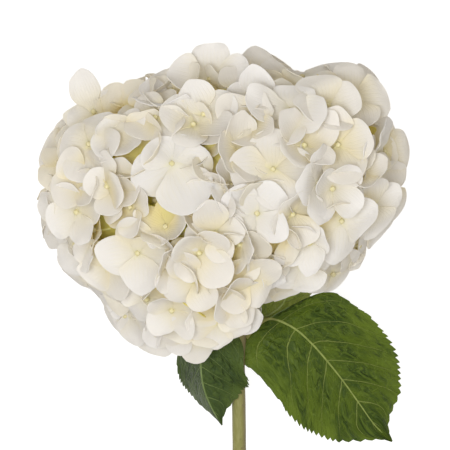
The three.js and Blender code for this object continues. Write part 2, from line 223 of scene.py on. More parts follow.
class Canvas:
    """The nodes of one material."""

    def __init__(self, name: str) -> None:
        """Makes a material with no nodes in it.

        Args:
            name: The material's name.
        """
        self.material = bpy.data.materials.new(name)
        self.material.use_nodes = True
        self.tree = self.material.node_tree
        self.tree.nodes.clear()

    def node(
        self,
        kind: str,
        settings: dict[str, object] | None = None,
        inputs: dict[str | int, object] | None = None,
        output: str | int = 0,
    ) -> Signal:
        """Adds a node.

        Args:
            kind: The node's type.
            settings: Its own properties, which are set first.
            inputs: A value or a Signal for each socket, by name or place.
            output: The output socket to return, by name or place.

        Returns:
            The output socket as a Signal.
        """
        made = self.tree.nodes.new(kind)
        for name, value in (settings or {}).items():
            setattr(made, name, value)
        for place, value in (inputs or {}).items():
            socket = made.inputs[place]
            if isinstance(value, Signal):
                self.tree.links.new(value.socket, socket)
            elif isinstance(value, tuple) and socket.type == "RGBA":
                socket.default_value = (*value[:3], 1.0)
            else:
                socket.default_value = value
        return Signal(self, made.outputs[output])

    def mix(self, share: Signal | float, first: Signal | Colour, second: Signal | Colour) -> Signal:
        """Returns the colour a share of the way from the first to the second."""
        settings = {"data_type": "RGBA", "clamp_factor": True}
        return self.node("ShaderNodeMix", settings, {0: share, 6: first, 7: second}, 2)

    def place(self, scale: Point = (1.0, 1.0, 1.0)) -> Signal:
        """Returns the place on the piece in metres, with each axis scaled."""
        coordinate = self.node("ShaderNodeTexCoord", output="Object")
        sockets = {"Vector": coordinate, "Scale": scale}
        return self.node("ShaderNodeMapping", {"vector_type": "POINT"}, sockets)

    def grain(self, vector: Signal, scale: float, detail: float = 3.0, roughness: float = 0.55) -> Signal:
        """Returns cloudy noise from 0 to 1."""
        inputs = {"Vector": vector, "Scale": scale, "Detail": detail, "Roughness": roughness}
        return self.node("ShaderNodeTexNoise", {}, inputs, "Fac")

    def cells(self, vector: Signal, scale: float, feature: str) -> Signal:
        """Returns a Voronoi pattern's distance, from the cell's middle (F1) or from its edge."""
        sockets = {"Vector": vector, "Scale": scale}
        return self.node("ShaderNodeTexVoronoi", {"feature": feature}, sockets, "Distance")

    def layout(self, name: str) -> tuple[Signal, Signal, Signal]:
        """Returns a UV map of the piece.

        Args:
            name: The map's name.

        Returns:
            The map's vector, its first number and its second number.
        """
        vector = self.node("ShaderNodeUVMap", {"uv_map": name})
        first = self.node("ShaderNodeSeparateXYZ", {}, {0: vector}, 0)
        second = Signal(self, first.socket.node.outputs[1])
        return vector, first, second

    def painted(self, name: str) -> Signal:
        """Returns a number that is stored at the piece's points."""
        return self.node("ShaderNodeAttribute", {"attribute_name": name}, {}, "Fac")

    def bump(self, height: Signal, depth: float) -> Signal:
        """Returns normals for a height from 0 to 1 that is depth metres deep."""
        return self.node("ShaderNodeBump", {}, {"Height": height, "Distance": depth, "Strength": 1.0})

    def skin(
        self, colour: Signal, roughness: Signal | float, normal: Signal, gloss: float = 0.3
    ) -> Signal:
        """Returns the shader of a plant's skin.

        Args:
            colour: Its colour.
            roughness: Its roughness.
            normal: Its normals.
            gloss: Its specular level.

        Returns:
            The shader.
        """
        look = {"Base Color": colour, "Roughness": roughness, "Normal": normal}
        return self.node("ShaderNodeBsdfPrincipled", {}, {**look, "Specular IOR Level": gloss})

    def surface(self, shader: Signal) -> bpy.types.Material:
        """Links the surface shader to the material's output and returns the material."""
        end = self.tree.nodes.new("ShaderNodeOutputMaterial")
        self.tree.links.new(shader.socket, end.inputs["Surface"])
        return self.material


# Finishes


@dataclass(frozen=True)
class SepalFinish:
    """Thin white sepals: cream towards the claw, with faint veins, and cream to yellow green deep in the
    head, partly their own colour and partly a painted glow of bounced light.
    """

    name: str = "sepal_white"
    white: Colour = (0.938, 0.930, 0.932)
    shade: Colour = (0.905, 0.873, 0.81)
    cream: Colour = (0.94, 0.86, 0.55)
    deep_green_and_glow: Colour = (0.88, 0.82, 0.22)
    claw: Colour = (0.86, 0.82, 0.42)
    veins: float = 11.0
    clouds: float = 260.0
    pores: float = 2600.0
    relief: float = 0.0001
    roughness: float = 0.58
    translucency: float = 0.45

    def material(self) -> bpy.types.Material:
        """Returns the material. It reads the UV map sepal and the painted numbers depth and tint."""
        canvas = Canvas(self.name)
        vector, across, along = canvas.layout("sepal")
        depth = canvas.painted("depth")
        tint = canvas.painted("tint")
        cloud = canvas.grain(canvas.place(), self.clouds, 3.0)
        wobble = canvas.grain(vector, 5.0, 2.0)
        line = ((across * self.veins) + wobble * 0.7).from_line()
        vein = line.step(0.16, 0.02) * along.step(0.0, 0.25) * along.step(1.0, 0.55)
        colour = canvas.mix(tint * 0.6 + cloud * 0.2, self.white, self.shade)
        colour = canvas.mix(vein * 0.07, colour, self.cream)
        colour = canvas.mix(along.step(0.75, 0.05) * (0.06 + tint * 0.62), colour, self.cream)
        # Deep in the head the sepals turn cream, then yellow green, and their claws more so: partly the inner
        # florets' own colour, partly a painted glow of the light bounced and scattered among them.
        colour = canvas.mix(depth.step(0.0, 0.42), colour, self.cream)
        colour = canvas.mix(depth.step(0.28, 0.8) * 0.95, colour, self.deep_green_and_glow)
        colour = canvas.mix(along.step(0.2, 0.0) * (0.2 + tint * 0.3 + depth * 0.5), colour, self.claw)
        pores = canvas.grain(canvas.place(), self.pores, 2.0)
        normal = canvas.bump(0.35 * pores - vein * 0.5 + cloud * 0.5, self.relief)
        body = canvas.skin(colour, self.roughness, normal)
        glow = canvas.node("ShaderNodeBsdfTranslucent", {}, {"Color": colour, "Normal": normal})
        both = {0: self.translucency, 1: body, 2: glow}
        return canvas.surface(canvas.node("ShaderNodeMixShader", {}, both))


@dataclass(frozen=True)
class SoftFinish:
    """Soft tissue with no veins: the florets' eyes and stalks, the buds and the middle of the head."""

    name: str
    main: Colour
    second: Colour
    patch: float
    roughness: float = 0.5
    relief: float = 0.0001

    def material(self) -> bpy.types.Material:
        """Returns the material."""
        canvas = Canvas(self.name)
        cloud = canvas.grain(canvas.place(), 1.0 / (self.patch * MM), 3.0)
        fine = canvas.grain(canvas.place(), 5.0 / (self.patch * MM), 2.0)
        colour = canvas.mix(cloud.step(0.35, 0.65), self.main, self.second)
        normal = canvas.bump(cloud + fine * 0.4, self.relief)
        return canvas.surface(canvas.skin(colour, self.roughness, normal))


@dataclass(frozen=True)
class LeafFinish:
    """The upper or lower skin of a leaf, with pale veins that follow the blade, a painted sheen on the tops
    of its puckers and painted shade in its folds.
    """

    name: str
    blade: Colour
    dark: Colour
    light: Colour
    vein: Colour
    vein_gap: float
    vein_width: float = 0.55
    vein_strength: float = 0.6
    roughness: float = 0.48
    gloss: float = 0.16
    relief: float = 0.0006

    def material(self) -> bpy.types.Material:
        """Returns the material. It reads the UV maps vein and net."""
        canvas = Canvas(self.name)
        _, side, lateral = canvas.layout("vein")
        net, out, _ = canvas.layout("net")
        edge = abs(side)
        warp = canvas.grain(net, 1.6, 2.0)
        shift = self._shift(canvas, warp)
        bent = canvas.node("ShaderNodeVectorMath", {"operation": "ADD"}, {0: net, 1: shift})
        cell = canvas.cells(bent, 2.6, "DISTANCE_TO_EDGE")
        mesh_line = cell.step(0.1, 0.01)
        small = canvas.cells(bent, 7.5, "DISTANCE_TO_EDGE").step(0.14, 0.01)
        off_vein = (lateral + (warp - 0.5) * 0.16).from_line()
        distance = off_vein * self.vein_gap
        taper = 1.0 - edge * 0.7
        side_vein = (distance / (taper * self.vein_width)).step(1.0, 0.3) * edge.step(0.985, 0.75)
        broad = canvas.grain(net, 0.7, 3.0)
        fine = canvas.grain(net, 9.0, 3.0)
        pucker = (out * 2.1 + warp * 1.8 + off_vein * 1.2).from_line() * 2.0
        inner = edge.step(0.06, 0.25) * edge.step(1.0, 0.85)
        between = off_vein.step(0.04, 0.3) * broad.step(0.62, 0.4) * inner
        fold_and_shade = pucker.step(0.55, 0.0) * between
        colour = canvas.mix(broad.step(0.35, 0.62), self.dark, self.blade)
        colour = canvas.mix(edge.step(0.5, 1.0) * 0.6 * broad.step(0.3, 0.6), colour, self.light)
        # Painted highlight: the tops of the puckers between the side veins are mixed towards the light green
        # as a sheen.
        colour = canvas.mix(pucker.step(0.5, 1.0) * between * 0.4, colour, self.light)
        # Painted shade: the folds between the puckers are mixed towards the dark green; the same mask also
        # sinks them in the bump.
        colour = canvas.mix(fold_and_shade * 0.75, colour, self.dark)
        colour = canvas.mix(mesh_line * 0.3 + small * 0.1 + fine * 0.14, colour, self.light)
        colour = canvas.mix(side_vein * self.vein_strength, colour, self.vein)
        roughness = self.roughness + fine * 0.12 - 0.06
        grooves = side_vein * 0.5 + mesh_line * 0.4 + small * 0.15 + fold_and_shade * 1.3
        normal = canvas.bump(1.0 + broad * 0.3 + fine * 0.1 - grooves, self.relief)
        return canvas.surface(canvas.skin(colour, roughness, normal, self.gloss))

    def _shift(self, canvas: Canvas, warp: Signal) -> Signal:
        """Returns the push that keeps the net of small veins from running straight."""
        push = (warp - 0.5) * 0.5
        return canvas.node("ShaderNodeCombineXYZ", {}, {0: push, 1: push * -0.8, 2: 0.0})


@dataclass(frozen=True)
class RibFinish:
    """A leaf's pale midrib, which turns olive and brownish along the petiole."""

    name: str
    rib: Colour
    green: Colour
    olive: Colour = (0.20, 0.20, 0.05)
    brown: Colour = (0.12, 0.07, 0.045)
    roughness: float = 0.5
    relief: float = 0.0001

    def material(self) -> bpy.types.Material:
        """Returns the material. It reads the painted number petiole."""
        canvas = Canvas(self.name)
        petiole = canvas.painted("petiole")
        cloud = canvas.grain(canvas.place(), 200.0, 3.0)
        streak = canvas.grain(canvas.place(), 700.0, 2.0)
        colour = canvas.mix(cloud.step(0.35, 0.65), self.rib, self.green)
        bark = canvas.mix(cloud.step(0.45, 0.65) * 0.8 + streak * 0.2, self.olive, self.brown)
        colour = canvas.mix(petiole, colour, bark)
        normal = canvas.bump(cloud + streak * 0.5, self.relief)
        return canvas.surface(canvas.skin(colour, self.roughness, normal))


@dataclass(frozen=True)
class StemFinish:
    """Olive green bark with fine streaks along it, a darker brownish side away from the key light that is
    partly a blush and partly painted shade, scattered dots and a pale pith.
    """

    name: str = "stem_olive"
    green: Colour = (0.215, 0.21, 0.056)
    light: Colour = (0.285, 0.275, 0.10)
    brown: Colour = (0.16, 0.125, 0.06)
    dot: Colour = (0.16, 0.12, 0.05)
    pith: Colour = (0.72, 0.74, 0.50)
    roughness: float = 0.5
    gloss: float = 0.4
    relief: float = 0.00022

    def material(self) -> bpy.types.Material:
        """Returns the material. It reads two painted numbers: how far a point lies on the darker brownish
        side, and how far on the cut end.
        """
        canvas = Canvas(self.name)
        brown_shaded_side = canvas.painted("brown_shaded_side")
        cut = canvas.painted("cut")
        streak = canvas.grain(canvas.place((1.0, 0.06, 1.0)), 900.0, 3.0)
        patch = canvas.grain(canvas.place((1.0, 0.35, 1.0)), 90.0, 3.0)
        spots = canvas.cells(canvas.place((1.0, 0.55, 1.0)), 330.0, "F1")
        spot = spots.step(0.17, 0.09) * canvas.grain(canvas.place(), 120.0, 1.0).step(0.42, 0.55)
        colour = canvas.mix(streak.step(0.35, 0.7) * 0.7, self.green, self.light)
        # Painted shade, partly a real reddish-brown blush: the side away from the key light is mixed towards
        # the darker brown.
        colour = canvas.mix((brown_shaded_side.step(0.1, 0.95) * 0.9) * patch.step(0.2, 0.55), colour, self.brown)
        colour = canvas.mix(spot * 0.75, colour, self.dot)
        colour = canvas.mix(cut.step(0.2, 0.45), colour, self.pith)
        fibres = canvas.cells(canvas.place(), 2200.0, "F1")
        dry = cut.step(0.1, 0.4)
        normal = canvas.bump(streak * 0.5 + spot * 0.9 + fibres * 0.5 * dry, self.relief)
        return canvas.surface(canvas.skin(colour, self.roughness + dry * 0.25, normal, self.gloss))


@dataclass(frozen=True)
class FloorFinish:
    """A plain white floor that lifts its own shadows."""

    name: str = "studio_floor"
    white: Colour = (0.36, 0.36, 0.36)
    glow: Colour = (1.0, 1.0, 1.0)
    lift: float = 0.86

    def material(self) -> bpy.types.Material:
        """Returns the material."""
        canvas = Canvas(self.name)
        body = canvas.node(
            "ShaderNodeBsdfPrincipled",
            {},
            {
                "Base Color": self.white,
                "Roughness": 0.9,
                "Specular IOR Level": 0.1,
                "Emission Color": self.glow,
                "Emission Strength": self.lift,
            },
        )
        return canvas.surface(body)


class Slot(Enum):
    """The record's material slots."""

    SEPALS = "sepals"
    STEM = "stem"
    LEAF = "leaf"


# Meshes


@dataclass(frozen=True)
class Spot:
    """Where one point of a mesh goes, and what is written there.

    Fields:
        point: The place in the plant's layout, in millimetres.
        maps: The point's place on each UV map.
        paint: The painted numbers.
    """

    point: Vector
    maps: dict[str, tuple[float, float]] = field(default_factory=dict)
    paint: dict[str, float] = field(default_factory=dict)


class Workpiece:
    """A mesh under construction, in metres."""

    def __init__(self, name: str, maps: Sequence[str] = (), paints: Sequence[str] = ()) -> None:
        """Starts an empty mesh.

        Args:
            name: The piece's name.
            maps: Its UV maps.
            paints: Its painted numbers.
        """
        self.name = name
        self.mesh = bmesh.new()
        self.maps = {key: self.mesh.loops.layers.uv.new(key) for key in maps}
        self.paints = {key: self.mesh.verts.layers.float.new(key) for key in paints}

    def _set_down(self, verts: Sequence[bmesh.types.BMVert], spot_of: Callable[[Vector], Spot]) -> None:
        """Moves the points of a fresh shape to their spots and writes their maps and paint.

        Args:
            verts: The shape's points.
            spot_of: Gives the spot for a point's place on the fresh shape.
        """
        spots = {vert: spot_of(vert.co.copy()) for vert in verts}
        for vert, spot in spots.items():
            vert.co = in_frame(spot.point)
            for key, value in spot.paint.items():
                vert[self.paints[key]] = value
        for face in {face for vert in verts for face in vert.link_faces}:
            face.smooth = True
            for loop in face.loops:
                for key, value in spots[loop.vert].maps.items():
                    loop[self.maps[key]].uv = value

    def sheet(self, columns: int, rows: int, spot_at: Callable[[float, float], Spot]) -> None:
        """Adds a sheet whose two numbers both run from -1 to 1, with a sharp rim.

        Args:
            columns: Faces along the first number.
            rows: Faces along the second number.
            spot_at: Gives the spot for the two numbers.
        """
        verts = bmesh.ops.create_grid(self.mesh, x_segments=columns, y_segments=rows, size=1.0)["verts"]
        for edge in {edge for vert in verts for edge in vert.link_edges if edge.is_boundary}:
            edge.smooth = False
        self._set_down(verts, lambda co: spot_at(co.x, co.y))

    def tube(
        self,
        line: SmoothLine,
        radius_at: Callable[[float, Vector], float],
        sides: int,
        steps: int,
        paint_at: Callable[[float, float], dict[str, float]] | None = None,
    ) -> None:
        """Adds a closed round tube along a line.

        Args:
            line: The tube's middle line.
            radius_at: The radius at a share of the line and its place.
            sides: Faces round the tube.
            steps: Faces along the tube, two or more.
            paint_at: The paint at a share of the line and an angle round it from above.
        """
        verts = bmesh.ops.create_cone(
            self.mesh, cap_ends=True, cap_tris=False, segments=sides, radius1=1.0, radius2=1.0, depth=2.0
        )["verts"]
        edges = {edge for vert in verts for edge in vert.link_edges}
        rails = [edge for edge in edges if abs(edge.verts[0].co.z - edge.verts[1].co.z) > 1]
        cut = bmesh.ops.subdivide_edges(self.mesh, edges=rails, cuts=steps - 1)
        inner = [made for made in cut["geom_inner"] if isinstance(made, bmesh.types.BMVert)]
        verts = list({near for vert in inner for edge in vert.link_edges for near in edge.verts})
        run = line.at(1.0) - line.at(0.0)
        guide = Vector((0.0, 0.0, 1.0)) if abs(run.z) < 0.8 * run.length else Vector((0.0, 1.0, 0.0))

        def spot_of(co: Vector) -> Spot:
            """Returns the spot for a point of the straight tube."""
            share = (co.z + 1) / 2
            centre = line.at(share)
            tangent = line.heading(share)
            across = guide.cross(tangent).normalized()
            up = tangent.cross(across)
            radius = radius_at(share, centre)
            paint = paint_at(share, math.atan2(co.y, co.x)) if paint_at else {}
            return Spot(centre + across * (co.x * radius) + up * (co.y * radius), {}, paint)

        self._set_down(verts, spot_of)

    def ball(self, subdivisions: int, spot_of: Callable[[Vector], Spot]) -> None:
        """Adds a closed ball.

        Args:
            subdivisions: How finely it is divided.
            spot_of: Gives the spot for a point of the ball of radius 1.
        """
        verts = bmesh.ops.create_icosphere(self.mesh, subdivisions=subdivisions, radius=1.0)["verts"]
        self._set_down(verts, spot_of)

    def shells(self) -> None:
        """Turns the faces of closed shapes outwards."""
        bmesh.ops.recalc_face_normals(self.mesh, faces=self.mesh.faces)

    def piece(
        self,
        materials: Sequence[bpy.types.Material],
        slot: Slot,
        stands_for: str,
        wall: float = 0.0,
    ) -> bpy.types.Object:
        """Ends the mesh and hands it to the frame.

        Args:
            materials: The finish, and for a sheet with two skins the finish of its other side.
            slot: The record's slot for the finish. It is not used.
            stands_for: The CAD node that it stands for.
            wall: A sheet's thickness in millimetres.

        Returns:
            The piece.
        """
        data = bpy.data.meshes.new(self.name)
        self.mesh.to_mesh(data)
        self.mesh.free()
        for material in materials:
            data.materials.append(material)
        made = bpy.data.objects.new(self.name, data)
        bpy.context.scene.collection.objects.link(made)
        if wall:
            thick = made.modifiers.new("wall", "SOLIDIFY")
            thick.thickness = wall * MM
            thick.offset = 0.0
            thick.use_quality_normals = True
            thick.material_offset = len(materials) - 1
        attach(made, BODY)
        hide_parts(stands_for)
        faces = len(data.polygons)
        log.info("%s: %d faces before its wall, in place of %s", self.name, faces, stands_for)
        return made


# The flower head


@dataclass(frozen=True)
class HeadForm:
    """The rounded form that the middles of the outer florets lie on, in the plant's millimetres.

    Fields:
        centre: Its middle.
        outline: How far its outline lies from there, every 20 degrees anticlockwise from +X.
        front: Its reach upwards.
        back: Its reach downwards.
        fullness: How full it is between its outline and its front and back.
        sepal_reach: How far sepals reach past the middles of the florets.
        past: How far past the form they may stand before they are drawn in, every 20 degrees too.
    """

    centre: Point = (-9.0, 85.0, 67.0)
    outline: tuple[float, ...] = (90, 94, 94, 72, 65, 68, 69, 79, 92, 92, 90, 78, 80, 84, 74, 57, 67, 79)
    front: float = 70.0
    back: float = 64.0
    fullness: float = 2.4
    sepal_reach: float = 11.0
    past: tuple[float, ...] = (13, 13, 13, 8, 22, 18, 9, 3, 8, 13, 11, 12, 18, 13, 13, 13, 15, 7)

    def _around(self, values: Sequence[float], angle: float) -> float:
        """Returns the value at an angle from above.

        Args:
            values: Values at angles that are spread evenly round, the first at +X.
            angle: The angle in radians.

        Returns:
            The value, on an S-curve between its two neighbours.
        """
        count = len(values)
        at = (angle / (2 * math.pi) * count) % count
        before = int(at)
        share = (1 - math.cos(math.pi * (at - before))) / 2
        return values[before % count] * (1 - share) + values[(before + 1) % count] * share

    def outline_radius(self, angle: float) -> float:
        """Returns how far the outline lies from the middle at an angle from above."""
        return self._around(self.outline, angle)

    def spare(self, offset: Vector) -> float:
        """Returns how far past the form a sepal may stand, for an offset from the middle."""
        return self._around(self.past, math.atan2(offset.y, offset.x))

    def level(self, offset: Vector) -> float:
        """Returns 1 on the form and less inside it, for an offset from the middle."""
        across = self.outline_radius(math.atan2(offset.y, offset.x)) - self.sepal_reach
        depth = self.front if offset.z > 0 else self.back
        flat = (math.hypot(offset.x, offset.y) / across) ** self.fullness
        return (flat + (abs(offset.z) / depth) ** self.fullness) ** (1 / self.fullness)

    def normal(self, offset: Vector) -> Vector:
        """Returns the way out of the head at an offset from the middle."""
        level = self.level(offset)
        steps = (Vector((1, 0, 0)), Vector((0, 1, 0)), Vector((0, 0, 1)))
        return Vector([self.level(offset + step) - level for step in steps]).normalized()

    def over(self, x: float, y: float) -> Vector:
        """Returns a point of the form's upper surface.

        Args:
            x: Its place from above.
            y: Its place from above.

        Returns:
            Its offset from the middle.
        """
        offset = Vector((x - self.centre[0], y - self.centre[1], 0.0))
        inside = min(self.level(offset), 0.995)
        offset.z = self.front * (1 - inside**self.fullness) ** (1 / self.fullness)
        return offset


@dataclass
class Floret:
    """One floret of the head.

    Fields:
        centre: Where its middle is.
        facing: The way it faces.
        spin: The angle of its first sepal, in radians.
        length: Its sepals' length.
        cup: How closed it is.
        waves: How far each sepal differs from the others, from 0 to 1.
        sepals: How many it has.
        fineness: Rows of faces in a sepal, each way.
        deep: The least that its sepals are tinted with cream and yellow green for depth, partly their own
            colour and partly a painted glow.
        limit: How far past the form its sepals may stand, or None for the form's own limit.
        fan: The angle, size, height and breadth of each sepal, where they are given one by one.
    """

    centre: Vector
    facing: Vector
    spin: float
    length: float
    cup: float
    waves: list[float]
    sepals: int = 4
    fineness: int = 7
    deep: float = 0.0
    limit: float | None = None
    fan: tuple[tuple[float, ...], ...] = ()

    def turn(self) -> Quaternion:
        """Returns the turn from facing up to the way that the floret faces."""
        if self.facing.z < -0.9999:
            return Quaternion((0.0, 0.0, -1.0, 0.0))
        return Vector((0.0, 0.0, 1.0)).rotation_difference(self.facing)


@dataclass(frozen=True)
class SepalShape:
    """How one sepal is cut and bent, in shares of its length.

    Fields:
        width: Half its breadth.
        skew: How far one side stands higher than the other.
        crest: How far both sides rise.
        tip: How far the end rises.
        point: How far the end is drawn out.
        ruffle: How deep the waves of its edge are.
        phase: Where those waves start, in radians.
        claw: How broad it is at its foot, as a share of its breadth.
        claw_run: How far from the foot it widens.
        nick: How uneven its outline is.
        tip_start: Where the end starts to rise.
    """

    width: float
    skew: float
    crest: float
    tip: float
    point: float
    ruffle: float
    phase: float
    claw: float = 0.45
    claw_run: float = 0.42
    nick: float = 0.018
    tip_start: float = 0.62

    @classmethod
    def drawn(cls, width: float, rng: random.Random) -> "SepalShape":
        """Returns a shape of a given breadth whose bends are drawn.

        Args:
            width: Half its breadth, as a share of its length.
            rng: The stream to draw from.

        Returns:
            The shape.
        """
        spans = ((-0.12, 0.12), (-0.3, 0.2), (-0.55, 0.5), (-0.05, 0.07), (0.01, 0.04), (0, 2 * math.pi))
        return cls(width, *(rng.uniform(*span) for span in spans))

    def cut(self, across: float, along: float) -> tuple[float, float]:
        """Returns where a point of a disc lies on the sepal.

        Args:
            across: The point's place across the disc of radius 1.
            along: The point's place along it.

        Returns:
            How far forward from the foot it lies, and how far sideways.
        """
        edge = math.hypot(across, along)
        forward = 0.5 + 0.5 * along
        sideways = -across * self.width * lerp(self.claw, 1.0, smoothstep(forward, 0.0, self.claw_run))
        forward += self.nick * math.sin(3 * math.atan2(along, across) + self.phase) * edge**4
        forward += self.point * math.exp(-((across / 0.3) ** 2)) * smoothstep(along, 0.4, 1.0)
        return forward, sideways

    def rise(self, across: float, along: float, upper: float) -> float:
        """Returns how far a point of a disc rises on the sepal.

        Args:
            across: The point's place across the disc of radius 1.
            along: The point's place along it.
            upper: How far the sepal lies over its neighbours, from 0 to 1.

        Returns:
            The rise.
        """
        forward, sideways = self.cut(across, along)
        edge = math.hypot(across, along)
        rise = upper * (0.02 + 0.1 * (forward**2 + sideways**2))
        rise += (sideways / self.width) ** 2 * (self.crest + 0.08 * upper - 0.02) * forward
        rise += self.skew * sideways
        rise += self.tip * max(0.0, forward - self.tip_start) ** 2
        return rise + self.ruffle * math.sin(5 * math.atan2(along, across) + self.phase) * edge**4


@dataclass(frozen=True)
class LayerSetting:
    """A layer of florets below the outer one.

    Fields:
        count: How many florets are spread over it.
        levels: How deep they lie, as least and most of the head's form.
        lengths: Their sepals' least and greatest length.
        lean: How far they may lean.
        cups: How closed they are, least and most.
        deep: The least that their sepals are tinted with cream and yellow green for depth, partly their own
            colour and partly a painted glow.
    """

    count: int
    levels: tuple[float, float]
    lengths: tuple[float, float]
    lean: float
    cups: tuple[float, float]
    deep: float


class Layer(Enum):
    """The layers below the outer florets."""

    MIDDLE = LayerSetting(124, (0.88, 0.98), (15.0, 19.5), 0.9, (0.4, 1.6), 0.1)
    INNER = LayerSetting(92, (0.74, 0.86), (15.0, 19.0), 0.6, (0.2, 1.1), 0.6)


@dataclass
class FlowerHead:
    """The mophead: four layers of florets with their eyes and stalks, buds in hollows and a green middle."""

    form: HeadForm = field(default_factory=HeadForm)
    neck: Point = (-0.5, 0.0, 54.5)
    seed: int = 20417
    spiral: int = 74
    stem_clearance_deg: float = 25.0
    calm_height: float = 30.0
    spacing: float = 21.0
    leaf_gap: tuple[float, float, float] = (16.0, 25.0, 12.0)
    lengths: tuple[float, float] = (18.5, 23.0)
    lean_deg: float = 24.0
    lifts: tuple[float, float, float] = (-3.5, 0.0, 3.5)
    # Florets given one by one: place from above, how far each faces east and north, a sepal's angle and its
    # length
    front: tuple[tuple[float, ...], ...] = (
        (-33, 99, -0.02, 0.04, 56, 24.5),
        (-49, 56, -0.25, -0.2, 8, 21.5),
        (16, 96, 0.12, 0.1, 5, 21.5),
        (9, 76, -0.05, -0.3, 50, 20),
        (48, 108, 0.15, 0.12, 15, 22),
        (-10, 23, 0.05, -0.45, 80, 17.5),
        (-22, 43, -0.1, -0.35, 30, 17),
        (-44, 34, -0.35, -0.4, 60, 17),
        (65, 79, 0.5, -0.25, 30, 18),
        (44, 54, 0.35, -0.4, 55, 17),
        (70, 105, 0.55, 0.15, 10, 20),
        (-72, 108, -0.5, 0.2, 80, 20),
        (-14, 139, -0.1, 0.55, 90, 21),
        (50, 72, 0.12, -0.25, 88, 22),
        (-12, 66, 0.05, -0.2, 15, 17),
        (30, 51, 0.3, -0.45, 25, 16.5),
        (-48, 26, -0.5, -0.5, 45, 18),
        (55, 131, 0.3, 0.5, 0, 22),
        (25, 124, -0.05, 0.3, 75, 21),
        (-17, 122, -0.1, 0.35, 25, 18),
        (-78, 76, -0.55, -0.15, 25, 19),
        (5, 43, 0.1, -0.4, 35, 17),
        (-31, 18, -0.1, -0.5, 10, 16),
        (-72, 124, -0.1, 0.3, 27, 21),
    )
    # The largest floret's sepals: the angle, size, height and breadth of each
    largest: tuple[tuple[float, ...], ...] = (
        (51, 0.74, 0.75, 0.55),
        (143, 0.78, 1.0, 0.55),
        (209, 1.0, 0.35, 0.55),
        (297, 1.08, 0.5, 0.55),
        (352, 0.94, 0.0, 0.55),
    )
    # The same for the last floret above, one of whose sepals stands out of the head, and how far it may
    lone_limit: float = 26.0
    lone: tuple[tuple[float, ...], ...] = (
        (112, 1.1, 0.2, 0.34),
        (40, 0.8, 0.9, 0.42),
        (207, 0.7, 0.3, 0.55),
        (297, 0.7, 0.6, 0.55),
    )
    # Florets that stand between those, many of them edge-on or half closed. Cup and lift come last
    between: tuple[tuple[float, ...], ...] = (
        (-62, 112, -0.1, 0.35, 45, 17, 1.3, 3),
        (-41, 119, -0.1, 0.74, 30, 20, 0.7, 3),
        (-23, 115, 0.1, 0.72, 70, 20, 0.8, 4),
        (-46, 127, -0.2, 0.75, 20, 16, 0.5, 0),
        (-33, 135, 0.0, 0.8, 50, 16, 0.5, 0),
        (8, 140, 0.1, 0.35, 80, 21, 0.5, 2),
        (22, 137, 0.05, 0.5, 30, 18, 0.6, 3),
        (9, 130, 0.0, 0.3, 0, 18, 1.4, 1),
        (7, 117, -0.25, 0.5, 60, 17, 1.1, 3),
        (42, 126, 0.3, 0.45, 20, 19, 0.9, 4),
        (34, 90, 0.86, -0.1, 0, 19, 0.3, 5),
        (44, 88, 0.5, -0.3, 50, 16, 1.0, 3),
        (64, 134, 0.75, 0.35, 80, 18, 0.3, 0),
        (69, 89, 0.65, -0.1, 30, 19, 0.5, 4),
        (58, 92, 0.2, 0.6, 15, 17, 1.1, 4),
        (68, 68, 0.6, -0.4, 60, 16, 0.4, 1),
        (56, 60, 0.75, -0.3, 30, 17, 0.6, 4),
        (36, 62, -0.3, -0.5, 20, 16, 1.3, 3),
        (46, 46, 0.3, -0.55, 40, 18, 0.3, 2),
        (13, 53, 0.75, -0.3, 0, 18, 0.4, 3),
        (18, 42, 0.3, -0.6, 40, 15, 1.0, 1),
        (-5, 34, 0.6, -0.4, 20, 15, 0.9, 3),
        (-1, 29, 0.15, -0.55, 40, 15, 0.5, 1),
        (-56, 25, -0.5, -0.6, 30, 18, 0.8, 1),
        (-42, 20, -0.3, -0.75, 0, 18, 0.8, 0),
        (-33, 29, -0.1, -0.6, 45, 14, 1.1, 3),
        (-36, 50, 0.7, -0.3, 60, 16, 0.7, 3),
        (-37, 69, -0.3, 0.35, 70, 14, 1.3, -3),
        (-64, 50, -0.4, -0.3, 40, 18, 1.1, 2),
        (-60, 40, -0.7, -0.3, 10, 17, 0.8, 2),
        (-79, 60, -0.75, -0.2, 60, 18, 0.5, 2),
        (-76, 45, -0.6, -0.55, 20, 17, 0.3, 0),
        (-75, 92, -0.55, 0.1, 40, 18, 1.2, 3),
        (-88, 74, -0.8, -0.1, 60, 17, 0.5, 1),
        (-60, 86, -0.3, 0.2, 70, 17, 1.4, 1),
        (-53, 78, -0.75, -0.1, 20, 17, 0.7, 0),
        (-22, 15, -0.05, -0.72, 90, 18, 0.5, 0),
        (-20, 57, 0.1, -0.45, 50, 17, 1.2, 3),
        (-6, 88, 0.7, 0.1, 40, 18, 0.7, 2),
        (-2, 104, 0.6, 0.25, 10, 18, 0.8, 3),
        (31, 107, 0.35, 0.45, 45, 18, 1.1, 2),
        (-12, 84, -0.45, -0.35, 70, 16, 1.2, 0),
        (24, 76, 0.6, -0.45, 25, 17, 1.0, 3),
        (2, 60, -0.7, -0.2, 80, 16, 0.8, 2),
    )
    # Florets that face down and bear the head: place from above, the angle of a sepal and its length
    resting: tuple[tuple[float, ...], ...] = ((-38, 98, 30, 20), (22, 96, 65, 20), (-8, 58, 10, 20))
    rest_level: float = 0.2
    settle: float = 5.0
    # Hollows between the outer florets, where buds show: place from above and radius
    hollows: tuple[tuple[float, float, float], ...] = (
        (-78, 74, 7),
        (-62, 86, 8),
        (-51, 78, 7),
        (-29, 68, 5.5),
        (-3, 76, 6),
        (27, 78, 7),
        (-6, 127, 8),
        (-38, 127, 6),
        (2, 101, 5),
    )
    buds_each: int = 9
    bud_levels: tuple[float, float] = (0.82, 0.93)
    layer_fineness: int = 5
    layer_limit: float = 11.0
